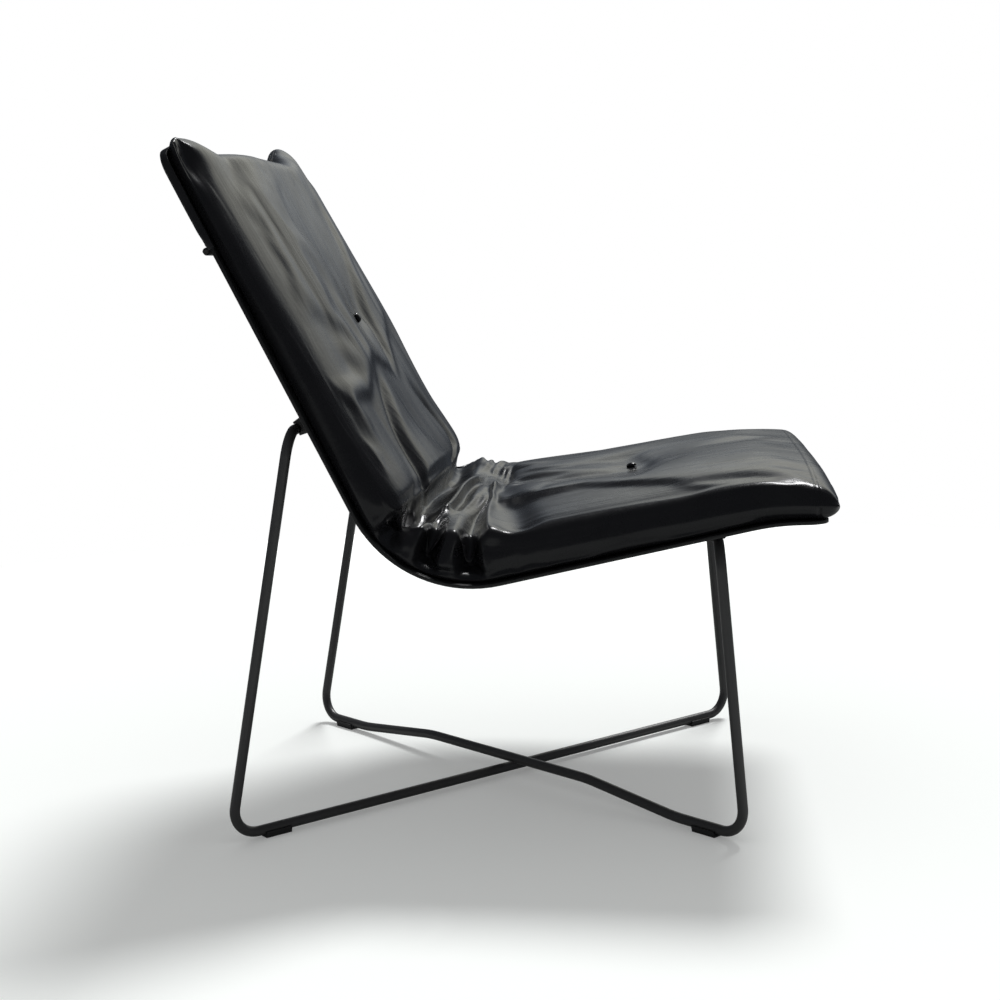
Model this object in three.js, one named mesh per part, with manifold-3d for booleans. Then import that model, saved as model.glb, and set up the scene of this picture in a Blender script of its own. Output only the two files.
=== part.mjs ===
// Lounge chair: a leather pad slung over a thin bent shell, on a base of two crossed bent rods.
// Millimetres, +Z up. The chair faces -Y and X runs across the seat, so +X is the sitter's left.

import * as THREE from 'three';
import { mergeVertices } from 'three/addons/utils/BufferGeometryUtils.js';
import Module from 'manifold-3d';

const wasm = await Module();
wasm.setup();

const degrees = (angle) => angle * Math.PI / 180;

// Fits
const SEAT_GAP = 0.3;               // between pieces that rest on each other or are welded
const SLIDE_GAP = 0.4;              // between the pad with its hood and the shell it slides on
const DRILL = 1;                    // cutters run this far past the face they open

// Shell: one bent sheet, measured on its underside
const SHELL_WIDTH = 610;
const SHELL_THICKNESS = 4;
const SHELL_CORNER = 24;            // plan radius of the four corners
const FOLD_HEIGHT = 303;            // lowest point of the sheet above the floor
const FOLD_RADIUS = 146;            // underside radius between back and seat
const FOLD_AHEAD = 2.7;             // the fold's centre lies this far in front of the base's centre
const BACK_LEAN = degrees(25.6);    // from vertical
const SEAT_RISE = degrees(11.4);    // towards the front
const BACK_LENGTH = 443;            // straight stretch above the fold
const SEAT_LENGTH = 280;            // straight stretch in front of the fold
const LIP_RADIUS = 260;             // bend that brings the front edge level
const LIP_LENGTH = 31;              // level stretch at the front edge

// Base: round steel rod, sizes on its centre line
const ROD_DIAMETER = 12;
const LEG_INSET = 35;               // leg's centre line, in from the shell's side edge
const FOOT_SPREAD = 588;            // front to rear, between the corners of the foot bends
const FOOT_BEND = 32;
const TOP_BEND = 28;
const REAR_BAR_UP = 113;            // rear cross bar, along the back from the end of the fold
const REAR_STANDOFF = 26;           // rear cross bar's centre line to the shell's back
const FRONT_BAR_OUT = 241;          // front cross bar, along the seat from the end of the fold
const FRONT_STANDOFF = 14;
const ARCH_START = 105;             // the upper rod leaves the floor this far from its foot corner
const ARCH_TOP = 250;               // and is level again this far from it
const ARCH_BEND = 250;
const ARCH_CLEAR = 4;               // daylight between the two rods where they cross

// Glides and brackets: saddles with the rod lying in them
const GLIDE_FLOOR = 2.5;            // thickness under the rod
const GLIDE_LENGTH = 34;
const GLIDE_FROM_BEND = 6;          // clear of the end of the foot bend
const GLIDE_FOOT = 14;              // width on the floor
const SADDLE_WIDTH = 17;            // width where it holds the rod
const SADDLE_EDGE = 1;              // the saddle's edge lies this far short of the rod's centre line
const SADDLE_SOLE = 2;              // upright edge at the saddle's foot
const BRACKET_FOOT = 24;            // width on the shell
const BRACKET_LENGTH = 46;
const BRACKET_INSET = 34;           // bracket's outer end to the leg's centre line

// Bracket screws, countersunk from the seat side
const SCREW_DIAMETER = 5;
const SCREW_HEAD = 10;
const SCREW_SPACING = 26;
const SCREW_BITE = 5.5;             // length inside the bracket
const SOCKET_DIAMETER = 3;
const SOCKET_DEPTH = 1.5;

// Pad, thickness measured from the shell
const PAD_INSET = 3;                // pad's side seam, in from the shell's side edge
const EDGE_END = 38;                // thickness at the shoulder of the sides, at both ends
const EDGE_FOLD = 58;               // and in the fold, where the filling is squeezed together
const CROWN = 18;                   // the middle stands this far above the shoulders
const CROWN_POWER = 3;              // flatness of the crown
const SEAM_SHARE = 0.4;             // height of the side seam, of the shoulder's
const PAD_WAIST = 5;                // the sides draw in this much between their corners
const PAD_FRONT_OVER = 13;          // past the shell's front edge
const PAD_END_ROUND = 24;           // length over which the ends are rounded
const PAD_MOUTH_SHARE = 0.2;        // of the thickness, left open at the top end for the zip
const MOUTH_CUT = 6;                // the hollow runs this far out through that mouth
const LEATHER = 2.5;
const LEFT_EAR = 33;                // the top's left corner stands this far above its middle
const RIGHT_EAR = 7;                // and its right corner, since the pad lies a little askew
const EAR_REACH = 110;              // how far down the back the ears fade out
const SEAT_SQUARE = 22;             // squareness of the seat's sides
const BACK_SQUARE = 6.5;            // and of the back's, which are soft rolls
const ROLL_UP = 148;                // the rolls are full from this far above the middle of the fold
const ROLL_DOWN = 12;               // and have run out this far in front of it

// Valley down the middle of the back
const DISH_DEPTH = 7;
const DISH_WIDE = 110;
const DISH_UP = 318;                // its middle, above the middle of the fold
const DISH_REACH = 200;

// Lobes of the lower back, which stand out over the crease, with dents between them
const LOBE_HEIGHT = 6;
const LOBE_UP = 108;                // above the middle of the fold
const LOBE_REACH = 75;
const LOBE_PITCH = 260;             // between dents
const LOBE_DENT = 92;               // the left dent lies this far left of the pad's middle

// Crease between the back's lobes and the gathers, measured above the middle of the fold
const CREASE_DEPTH = 18;
const CREASE_WIDE = 20;
const CREASE_UP = 42;               // at the pad's middle
const CREASE_LEFT_UP = 72;          // at its left side
const CREASE_RIGHT_UP = 58;         // at its right side

// Gathers, where the face is squeezed together in the fold: they fan out to both sides from a swelling
const FAN_UP = 8;                   // above the middle of the fold
const FAN_LEFT = 95;                // left of the pad's middle
const FAN_BLEND = 0.7;              // share of the way to a side over which the gathers rise
const GATHER_HEIGHT = 12;
const GATHER_PITCH = 64;            // along the shell, at the pad's sides
const GATHER_RIGHT_UP = 32;         // first ridge at the right side, above the fan's middle
const GATHER_LEFT_UP = 11;          // first ridge at the left side
const GATHER_AHEAD = 42;            // they are highest this far in front of the middle of the fold
const GATHER_REACH = 95;
const SWELL_HEIGHT = 12;
const SWELL_WIDE = 120;
const SWELL_LONG = 75;
const SWELL_AHEAD = 27;             // in front of the middle of the fold

// Tufts: a button, its cord, and an anchor disc on the underside
const BACK_TUFT_UP = 204;           // above the end of the fold
const SEAT_TUFT_OUT = 156;          // in front of the end of the fold
const TUFT_SINK = 12;
const TUFT_LIFT = 5;                // the underside is drawn up this much
const TUFT_WIDE = 85;               // spread of the dimple across the pad
const TUFT_LONG = 60;               // and along it
const BUTTON_DIAMETER = 13;
const BUTTON_HEIGHT = 5.5;
const BUTTON_RIM = 1.5;
const TUFT_CORD = 3;
const CORD_HOLE = 4;
const ANCHOR_DIAMETER = 20;
const ANCHOR_THICKNESS = 3;
const ANCHOR_CLEAR = 1;             // below the drawn-up underside

// Hood over the shell's top, and the cord in its hem
const HOOD_DROP = 118;
const SEAM_DROP = 9;                // the hood's tongue ends this far below the pad's mouth
const HEM_DIAMETER = 8;
const HEM_CORD = 5;
const ZIP_DEPTH = 9;
const ZIP_SHARE = 0.55;             // of the pad's width

// Fineness of the facets
const SHELL_FACET = degrees(7.6);
const ROD_FACET = degrees(15);
const ROD_SIDES = 12;
const SMALL_SIDES = 12;             // screws, cords and their holes
const ROUND_SIDES = 20;             // buttons and anchors
const CHANNEL_SIDES = 14;           // half-round channel of a saddle
const CORNER_STEPS = 5;             // each rounded corner of the shell
const DOME_STEPS = 4;
const FACE_STEPS = 10;              // across the pad's face
const SOLE_STEPS = 4;               // across its underside
const END_STATIONS = [0, 0.15, 0.5, 1];     // along the pad's rounded ends, as shares of them
const PLAIN_STEP = 100;             // along the pad where it is plain
const TUFT_STEP = 32;               // and next to a tuft
const GATHER_STEP = 16;             // and where it is gathered
const CLOSEST = 0.3;                // rings and ridges lie at least this far apart
const WELD = 1e-4;                  // points closer than this are one

// Finishes
const FINISH = {
  rod: { color: 0x1c1c1d, roughness: 0.42, metalness: 0.6 },
  shell: { color: 0x161617, roughness: 0.5, metalness: 0.4 },
  screw: { color: 0x2a2a2b, roughness: 0.35, metalness: 0.9 },
  nylon: { color: 0x202021, roughness: 0.6, metalness: 0 },
  leather: { color: 0x141416, roughness: 0.4, metalness: 0 },
  fill: { color: 0xd8d2c4, roughness: 0.95, metalness: 0 },
  cord: { color: 0x1e1c1a, roughness: 0.9, metalness: 0 },
};

// Meshes, lofts and cuts

const chair = new THREE.Group();

function add(name, geometry, finish, parent = chair) {
  const mesh = new THREE.Mesh(geometry, new THREE.MeshStandardMaterial(FINISH[finish]));
  mesh.name = name;
  parent.add(mesh);
  return mesh;
}

function signedVolume(points, triangles) {
  const [a, b, c] = [new THREE.Vector3(), new THREE.Vector3(), new THREE.Vector3()];
  let volume = 0;
  for (let i = 0; i < triangles.length; i += 3) {
    a.copy(points[triangles[i]]);
    b.copy(points[triangles[i + 1]]);
    c.copy(points[triangles[i + 2]]);
    volume += a.dot(b.cross(c)) / 6;
  }
  return volume;
}

// Triangles that close a ring whose points run out along X and back again.
function closeRing(ring) {
  const far = Math.max(...ring.map((p) => p.x));
  const turn = ring.findIndex((p) => p.x === far);
  const order = ring.map((_, i) => i);
  const out = order.slice(0, turn + 1);
  const back = [0, ...order.slice(turn).reverse()];
  const triangles = [];
  let [i, j] = [0, 0];
  while (i + 1 < out.length || j + 1 < back.length) {
    const onlyOut = j + 1 === back.length;
    const onlyBack = i + 1 === out.length;
    const stepOut = onlyOut || (!onlyBack && ring[out[i + 1]].x < ring[back[j + 1]].x);
    const corners = new Set([out[i], back[j], stepOut ? out[i + 1] : back[j + 1]]);
    if (corners.size === 3) triangles.push([...corners].sort((a, b) => a - b));
    if (stepOut) i += 1;
    else j += 1;
  }
  return triangles;
}

// Joins loops of equally many points into one closed skin.
function loft(rings) {
  const count = rings[0].length;
  const points = rings.flat();
  const triangles = [];
  for (let r = 0; r + 1 < rings.length; r++) {
    for (let i = 0; i < count; i++) {
      const j = (i + 1) % count;
      const [a, b] = [r * count + i, r * count + j];
      triangles.push(a, b, b + count, a, b + count, a + count);
    }
  }
  const last = (rings.length - 1) * count;
  closeRing(rings[0]).forEach((corners) => triangles.push(...corners.reverse()));
  closeRing(rings.at(-1)).forEach((corners) => triangles.push(...corners.map((c) => last + c)));
  if (signedVolume(points, triangles) < 0) triangles.reverse();
  const geometry = new THREE.BufferGeometry().setFromPoints(points);
  geometry.setIndex(triangles);
  return geometry;
}

function toSolid(geometry, matrix = new THREE.Matrix4()) {
  const bare = geometry.clone().applyMatrix4(matrix);
  bare.deleteAttribute('normal');
  bare.deleteAttribute('uv');
  const merged = mergeVertices(bare, WELD);
  return new wasm.Manifold(new wasm.Mesh({
    numProp: 3,
    vertProperties: new Float32Array(merged.getAttribute('position').array),
    triVerts: new Uint32Array(merged.getIndex().array),
  }));
}

function toGeometry(solid) {
  const mesh = solid.getMesh();
  const geometry = new THREE.BufferGeometry();
  geometry.setAttribute('position', new THREE.BufferAttribute(new Float32Array(mesh.vertProperties), 3));
  geometry.setIndex(new THREE.BufferAttribute(new Uint32Array(mesh.triVerts), 1));
  return geometry;
}

function cut(geometry, cutters) {
  return toGeometry(cutters.reduce((solid, cutter) => solid.subtract(cutter), toSolid(geometry)));
}

// A cylinder along Z between two heights. Its flats, and not its corners, face along X and Y.
function post(diameter, low, high, sides = SMALL_SIDES) {
  const geometry = new THREE.CylinderGeometry(diameter / 2, diameter / 2, high - low, sides);
  return geometry.rotateY(Math.PI / sides).rotateX(Math.PI / 2).translate(0, 0, (low + high) / 2);
}

// A turned piece about Z from [radius, height] points.
function turned(outline, sides = SMALL_SIDES) {
  const points = outline.map(([radius, height]) => new THREE.Vector2(radius, height));
  return new THREE.LatheGeometry(points, sides).rotateX(Math.PI / 2);
}

// A box from its low and high corners.
function block(low, high) {
  const size = high.map((value, i) => value - low[i]);
  const geometry = new THREE.BoxGeometry(...size);
  return geometry.translate(...low.map((value, i) => value + size[i] / 2));
}

// Side profile: the pad side of the shell as straight and round stretches from the top edge forwards.
// A heading is the direction of travel above level, and the pad lies on its left.

const FOLD_TURN = Math.PI / 2 - BACK_LEAN + SEAT_RISE;
const FOLD_INSIDE = FOLD_RADIUS - SHELL_THICKNESS;
const STRETCHES = [
  { length: BACK_LENGTH, turn: 0 },
  { length: FOLD_INSIDE * FOLD_TURN, turn: FOLD_TURN },
  { length: SEAT_LENGTH, turn: 0 },
  { length: LIP_RADIUS * SEAT_RISE, turn: -SEAT_RISE },
  { length: LIP_LENGTH, turn: 0 },
];

function travel({ start, heading, length, turn }, distance) {
  if (turn === 0) {
    const y = start.y - Math.cos(heading) * distance;
    const z = start.z + Math.sin(heading) * distance;
    return { y, z, heading };
  }
  const rate = turn / length;
  const now = heading + rate * distance;
  const y = start.y - (Math.sin(now) - Math.sin(heading)) / rate;
  const z = start.z + (Math.cos(heading) - Math.cos(now)) / rate;
  return { y, z, heading: now };
}

function layProfile() {
  const heading = BACK_LEAN - Math.PI / 2;
  const start = {
    y: -FOLD_AHEAD - Math.sin(heading) * FOLD_INSIDE + Math.cos(heading) * BACK_LENGTH,
    z: FOLD_HEIGHT + FOLD_RADIUS - Math.cos(heading) * FOLD_INSIDE - Math.sin(heading) * BACK_LENGTH,
  };
  const laid = [];
  let now = { ...start, heading };
  let begin = 0;
  for (const stretch of STRETCHES) {
    const piece = { ...stretch, start: now, heading: now.heading, begin };
    laid.push(piece);
    now = travel(piece, piece.length);
    begin += piece.length;
  }
  return laid;
}

const PROFILE = layProfile();
const [, FOLD, SEAT, LIP] = PROFILE;
const FOLD_START = FOLD.begin;
const FOLD_END = SEAT.begin;
const SHELL_LENGTH = PROFILE.at(-1).begin + LIP_LENGTH;

function profileAt(s) {
  const piece = PROFILE.findLast(({ begin }) => s >= begin) ?? PROFILE[0];
  return travel(piece, s - piece.begin);
}

// A point across the seat at x, along the shell at s, and off its pad side by depth.
function place(x, s, depth) {
  const { y, z, heading } = profileAt(s);
  return new THREE.Vector3(x, y + Math.sin(heading) * depth, z + Math.cos(heading) * depth);
}

// A frame at s with its Z axis square to the shell, towards the pad or away from it.
function squareTo(s, depth, towardsPad) {
  const { heading } = profileAt(s);
  const side = towardsPad ? 1 : -1;
  const out = new THREE.Vector3(0, Math.sin(heading), Math.cos(heading)).multiplyScalar(side);
  const across = new THREE.Vector3(1, 0, 0);
  const basis = new THREE.Matrix4().makeBasis(across, out.clone().cross(across), out);
  return basis.setPosition(place(0, s, depth));
}

function groupAt(matrix) {
  const group = new THREE.Group();
  matrix.decompose(group.position, group.quaternion, group.scale);
  chair.add(group);
  return group;
}

// Stations along one round or straight stretch, so that no facet turns more than a set angle.
function stationsAlong({ begin, length, turn }, facet) {
  const count = Math.max(1, Math.ceil(Math.abs(turn) / facet));
  return Array.from({ length: count + 1 }, (_, i) => begin + length * i / count);
}

// Shell

function shellRings() {
  const corner = Array.from({ length: CORNER_STEPS + 1 }, (_, i) => Math.PI / 2 * i / CORNER_STEPS);
  const inset = corner.map((angle) => ({
    along: SHELL_CORNER * (1 - Math.cos(angle)),
    narrow: SHELL_CORNER * (1 - Math.sin(angle)),
  }));
  const ends = [
    ...inset.map(({ along, narrow }) => ({ s: along, narrow })),
    ...inset.map(({ along, narrow }) => ({ s: SHELL_LENGTH - along, narrow })),
  ];
  const middle = PROFILE.flatMap((piece) => stationsAlong(piece, SHELL_FACET))
    .filter((s) => s > SHELL_CORNER + DRILL && s < SHELL_LENGTH - SHELL_CORNER - DRILL)
    .map((s) => ({ s, narrow: 0 }));
  const stations = [...ends, ...middle].sort((a, b) => a.s - b.s);
  const spaced = stations.filter(({ s }, i) => i === 0 || s - stations[i - 1].s > CLOSEST);
  return spaced.map(({ s, narrow }) => {
    const half = SHELL_WIDTH / 2 - narrow;
    return [
      place(-half, s, 0),
      place(half, s, 0),
      place(half, s, -SHELL_THICKNESS),
      place(-half, s, -SHELL_THICKNESS),
    ];
  });
}

// Countersunk screw outline, its head flush at height 0 and its point below, grown by a clearance.
function screwOutline(clearance, length) {
  const [head, shank] = [SCREW_HEAD / 2 + clearance, SCREW_DIAMETER / 2 + clearance];
  return [[0, -length], [shank, -length], [shank, shank - head], [head, 0]];
}

function screw() {
  const socket = SOCKET_DIAMETER / 2;
  const outline = screwOutline(0, SHELL_THICKNESS + SEAT_GAP + SCREW_BITE);
  return turned([...outline, [socket, 0], [socket, -SOCKET_DEPTH], [0, -SOCKET_DEPTH]]);
}

function screwHole(length) {
  return turned([...screwOutline(SEAT_GAP, length), [SCREW_HEAD / 2 + SEAT_GAP, DRILL], [0, DRILL]]);
}

// Saddle: an extruded foot with a round channel for the rod, whose centre lies at a given height.
// Its length runs along X, its width along Y and its foot lies at height 0.
function saddle(foot, length, rodHeight) {
  const channel = ROD_DIAMETER / 2 + SEAT_GAP;
  const edge = rodHeight - SADDLE_EDGE;
  const mouth = Math.asin(SADDLE_EDGE / channel);
  const outline = new THREE.Shape();
  outline.moveTo(-foot / 2, 0);
  outline.lineTo(foot / 2, 0);
  outline.lineTo(foot / 2, SADDLE_SOLE);
  outline.lineTo(SADDLE_WIDTH / 2, edge);
  outline.absarc(0, rodHeight, channel, -mouth, mouth - Math.PI, true);
  outline.lineTo(-SADDLE_WIDTH / 2, edge);
  outline.lineTo(-foot / 2, SADDLE_SOLE);
  const options = { depth: length, bevelEnabled: false, curveSegments: CHANNEL_SIDES };
  const geometry = new THREE.ExtrudeGeometry(outline, options).translate(0, 0, -length / 2);
  const turn = new THREE.Matrix4().makeBasis(
    new THREE.Vector3(0, 1, 0), new THREE.Vector3(0, 0, 1), new THREE.Vector3(1, 0, 0));
  return geometry.applyMatrix4(turn);
}

const REAR_BAR_AT = FOLD_START - REAR_BAR_UP;
const FRONT_BAR_AT = FOLD_END + FRONT_BAR_OUT;
const LEG_X = SHELL_WIDTH / 2 - LEG_INSET;
const BRACKET_AT = LEG_X - BRACKET_INSET - BRACKET_LENGTH / 2;
const BRACKETS = [
  { row: 'rear', s: REAR_BAR_AT, standoff: REAR_STANDOFF },
  { row: 'front', s: FRONT_BAR_AT, standoff: FRONT_STANDOFF },
].flatMap((bracket) => [
  { ...bracket, name: `${bracket.row}_left`, x: BRACKET_AT },
  { ...bracket, name: `${bracket.row}_right`, x: -BRACKET_AT },
]);
const SCREW_OFFSETS = [-SCREW_SPACING / 2, SCREW_SPACING / 2];

function buildShell() {
  const hole = screwHole(SHELL_THICKNESS + DRILL);
  const holes = BRACKETS.flatMap(({ x, s }) => SCREW_OFFSETS.map((offset) => {
    const shift = new THREE.Matrix4().makeTranslation(x + offset, 0, 0);
    return toSolid(hole, squareTo(s, 0, true).multiply(shift));
  }));
  add('seat_shell', cut(loft(shellRings()), holes), 'shell');
}

function buildBrackets() {
  const depth = SCREW_BITE + DRILL;
  for (const { name, x, s, standoff } of BRACKETS) {
    const onBack = groupAt(squareTo(s, -SHELL_THICKNESS - SEAT_GAP, false));
    const holes = SCREW_OFFSETS.map((offset) => toSolid(
      post(SCREW_DIAMETER + 2 * SEAT_GAP, -DRILL, depth).translate(offset, 0, 0)));
    const body = cut(saddle(BRACKET_FOOT, BRACKET_LENGTH, standoff - SEAT_GAP), holes);
    add(`bracket_${name}`, body, 'rod', onBack).position.x = x;
    const onFace = groupAt(squareTo(s, 0, true));
    SCREW_OFFSETS.forEach((offset, i) => {
      add(`bracket_screw_${name}_${i + 1}`, screw(), 'screw', onFace).position.x = x + offset;
    });
  }
}

// Base

// A rod's centre line: straight runs between corners, each corner rounded by its own bend radius.
class BentRod extends THREE.Curve {
  constructor(corners) {
    super();
    this.stations = BentRod.lay(corners);
  }

  static lay(corners) {
    const stations = [];
    const toward = (a, b) => b.at.clone().sub(a.at).normalize();
    corners.forEach((corner, i) => {
      const [before, after] = [corners[i - 1], corners[i + 1]];
      if (!before || !after) {
        const tangent = before ? toward(before, corner) : toward(corner, after);
        stations.push({ point: corner.at.clone(), tangent });
        return;
      }
      const [arrive, leave] = [toward(before, corner), toward(corner, after)];
      const turn = arrive.angleTo(leave);
      const axis = arrive.clone().cross(leave).normalize();
      const reach = corner.bend * Math.tan(turn / 2);
      const first = corner.at.clone().addScaledVector(arrive, -reach);
      const inward = axis.clone().cross(arrive);
      const centre = first.clone().addScaledVector(inward, corner.bend);
      const count = Math.max(2, Math.ceil(turn / ROD_FACET));
      for (let k = 0; k <= count; k++) {
        const angle = turn * k / count;
        const spoke = inward.clone().multiplyScalar(-corner.bend).applyAxisAngle(axis, angle);
        const tangent = arrive.clone().applyAxisAngle(axis, angle);
        stations.push({ point: centre.clone().add(spoke), tangent });
      }
    });
    return stations;
  }

  station(t) {
    return this.stations[Math.round(t * (this.stations.length - 1))];
  }

  getPoint(t) {
    return this.station(t).point.clone();
  }

  getTangent(t) {
    return this.station(t).tangent.clone();
  }

  // Stations are taken as they come, close together in the bends and far apart on straight runs.
  getUtoTmapping(u) {
    return u;
  }
}

const ROD_RADIUS = ROD_DIAMETER / 2;
const ROD_HEIGHT = GLIDE_FLOOR + SEAT_GAP + ROD_RADIUS;
const ARCH_LIFT = ROD_DIAMETER + ARCH_CLEAR;

// Both rods are drawn from the rear cross bar's middle. side is +1 where the rear leg is the left one.
function rodCorners(side, arched) {
  const legX = side * LEG_X;
  const rearBar = place(0, REAR_BAR_AT, -SHELL_THICKNESS - REAR_STANDOFF);
  const frontBar = place(0, FRONT_BAR_AT, -SHELL_THICKNESS - FRONT_STANDOFF);
  const rearFoot = new THREE.Vector3(legX, FOOT_SPREAD / 2, ROD_HEIGHT);
  const frontFoot = new THREE.Vector3(-legX, -FOOT_SPREAD / 2, ROD_HEIGHT);
  const on = (bar, x) => bar.clone().setX(x);
  const along = frontFoot.clone().sub(rearFoot).normalize();
  const archPoint = (foot, distance, lift) => ({
    at: foot.clone().addScaledVector(along, distance).setZ(ROD_HEIGHT + lift),
    bend: ARCH_BEND,
  });
  const arch = [
    archPoint(rearFoot, ARCH_START, 0),
    archPoint(rearFoot, ARCH_TOP, ARCH_LIFT),
    archPoint(frontFoot, -ARCH_TOP, ARCH_LIFT),
    archPoint(frontFoot, -ARCH_START, 0),
  ];
  return [
    { at: on(rearBar, side * SEAT_GAP / 2) },
    { at: on(rearBar, legX), bend: TOP_BEND },
    { at: rearFoot, bend: FOOT_BEND },
    ...(arched ? arch : []),
    { at: frontFoot, bend: FOOT_BEND },
    { at: on(frontBar, -legX), bend: TOP_BEND },
    { at: on(frontBar, -side * SEAT_GAP / 2) },
  ];
}

function bentRod(corners) {
  const path = new BentRod(corners);
  const section = new THREE.Shape().absarc(0, 0, ROD_RADIUS, 0, 2 * Math.PI);
  return new THREE.ExtrudeGeometry(section, {
    extrudePath: path,
    steps: path.stations.length - 1,
    curveSegments: ROD_SIDES / 2,
  });
}

function buildBase() {
  for (const [name, side, arched] of [['lower', -1, false], ['upper', 1, true]]) {
    const corners = rodCorners(side, arched);
    add(`base_rod_${name}`, bentRod(corners), 'rod');
    for (const end of ['rear', 'front']) {
      addGlide(corners, end);
    }
  }
}

// A glide sits on the straight floor run, just past the end of its foot bend.
function addGlide(corners, end) {
  const order = end === 'rear' ? corners : [...corners].reverse();
  const [top, foot, next] = order.slice(1, 4).map(({ at }) => at);
  const along = next.clone().sub(foot).normalize();
  const turn = foot.clone().sub(top).angleTo(along);
  const distance = FOOT_BEND * Math.tan(turn / 2) + GLIDE_FROM_BEND + GLIDE_LENGTH / 2;
  const middle = foot.clone().addScaledVector(along, distance).setZ(0);
  const hand = foot.x > 0 ? 'left' : 'right';
  const glide = add(`glide_${end}_${hand}`, saddle(GLIDE_FOOT, GLIDE_LENGTH, ROD_HEIGHT), 'nylon');
  glide.position.copy(middle);
  glide.rotation.z = Math.atan2(along.y, along.x);
}

// Pad

const PAD_START = 0;
const PAD_END = SHELL_LENGTH + PAD_FRONT_OVER;
const FOLD_MIDDLE = (FOLD_START + FOLD_END) / 2;
const TUFTS = [
  { name: 'back', s: FOLD_START - BACK_TUFT_UP },
  { name: 'seat', s: FOLD_END + SEAT_TUFT_OUT },
];

function tuftShare(s, x) {
  const shares = TUFTS.map((tuft) => Math.exp(-(((s - tuft.s) / TUFT_LONG) ** 2) - (x / TUFT_WIDE) ** 2));
  return Math.max(...shares);
}

const { lerp, smoothstep } = THREE.MathUtils;
const bell = (distance, reach) => Math.exp(-((distance / reach) ** 2));
const plateau = (distance, reach) => Math.exp(-((distance / reach) ** 4));

function dishAt(up, x) {
  return DISH_DEPTH * plateau(up - DISH_UP, DISH_REACH) * bell(x, DISH_WIDE);
}

function lobeAt(up, x) {
  const across = (1 - Math.cos(2 * Math.PI * (x - LOBE_DENT) / LOBE_PITCH)) / 2;
  return LOBE_HEIGHT * bell(up - LOBE_UP, LOBE_REACH) * across;
}

function creaseAt(up, u) {
  const line = lerp(CREASE_UP, u > 0 ? CREASE_LEFT_UP : CREASE_RIGHT_UP, u * u);
  return CREASE_DEPTH * bell(up - line, CREASE_WIDE);
}

function gatherAt(up, x, half) {
  const left = x > FAN_LEFT;
  const out = Math.abs(x - FAN_LEFT) / (left ? half - FAN_LEFT : half + FAN_LEFT);
  const ridge = (left ? GATHER_LEFT_UP : GATHER_RIGHT_UP) * out;
  const pitch = Math.max(GATHER_PITCH * out, CLOSEST);
  const height = GATHER_HEIGHT * smoothstep(out, 0, FAN_BLEND) * plateau(up + GATHER_AHEAD, GATHER_REACH);
  return height * Math.cos(2 * Math.PI * (up - FAN_UP - ridge) / pitch);
}

function swellAt(up, x) {
  return SWELL_HEIGHT * bell(up + SWELL_AHEAD, SWELL_LONG) * bell(x - FAN_LEFT, SWELL_WIDE);
}

// Height of the folds over the pad's plain face.
function reliefAt(s, u, half) {
  const up = FOLD_MIDDLE - s;
  const x = u * half;
  return lobeAt(up, x) + gatherAt(up, x, half) + swellAt(up, x) - dishAt(up, x) - creaseAt(up, u);
}

// How far a place lies from the middle of the fold, as a share of the way to that end of the pad.
function fromFold(s) {
  const reach = s < FOLD_MIDDLE ? PAD_START - FOLD_MIDDLE : PAD_END - FOLD_MIDDLE;
  return (s - FOLD_MIDDLE) / reach;
}

// The sides draw in halfway along the back and halfway along the seat.
function padHalf(s) {
  return SHELL_WIDTH / 2 - PAD_INSET - PAD_WAIST * Math.sin(Math.PI * fromFold(s)) ** 2;
}

// Thickness at the shoulders, which thins from the fold towards both ends.
function shoulderAt(s) {
  return EDGE_END + (EDGE_FOLD - EDGE_END) * Math.cos(Math.PI / 2 * fromFold(s));
}

function seamAt(s) {
  return SEAM_SHARE * shoulderAt(s);
}

// Share of the full thickness towards the side seams.
function sideShare(s, u) {
  const roll = smoothstep(FOLD_MIDDLE - s, -ROLL_DOWN, ROLL_UP);
  return Math.sqrt(1 - Math.abs(u) ** lerp(SEAT_SQUARE, BACK_SQUARE, roll));
}

// And near the two rounded ends.
function endShare(s, end) {
  const inside = Math.max(0, Math.min(s - PAD_START, end - s, PAD_END_ROUND));
  const round = Math.sqrt(1 - (1 - inside / PAD_END_ROUND) ** 2);
  return Math.max(PAD_MOUTH_SHARE, round);
}

function padFace(s, u, inset, end) {
  const half = padHalf(s) - inset;
  const seam = seamAt(s);
  const crown = shoulderAt(s) + CROWN * (1 - Math.abs(u) ** CROWN_POWER);
  const form = crown - TUFT_SINK * tuftShare(s, u * half) + reliefAt(s, u, half);
  return seam + (form - inset - seam) * sideShare(s, u) * endShare(s, end);
}

function padUnderside(s, u, inset, end) {
  const half = padHalf(s) - inset;
  const seam = seamAt(s);
  const low = SLIDE_GAP + inset + TUFT_LIFT * tuftShare(s, u * half);
  const side = Math.sqrt(1 - Math.abs(u) ** SEAT_SQUARE);
  return seam - (seam - low) * side * endShare(s, end);
}

// Places across the pad, closer together at the sides: -1 and 1 are the side seams.
function acrossPad(steps) {
  return Array.from({ length: steps + 1 }, (_, i) => {
    const share = 2 * i / steps - 1;
    return Math.sign(share) * (1 - (1 - Math.abs(share)) ** 2);
  });
}

const FACE_ACROSS = acrossPad(FACE_STEPS);
const UNDERSIDE_ACROSS = acrossPad(SOLE_STEPS).slice(1, -1).reverse();

// The top corners are drawn up into two ears of unlike height.
function earShift(s, u) {
  const fade = Math.max(0, 1 - (s - PAD_START) / EAR_REACH);
  return (u > 0 ? LEFT_EAR : RIGHT_EAR) * fade ** 2 * Math.abs(u) ** 3;
}

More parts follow.
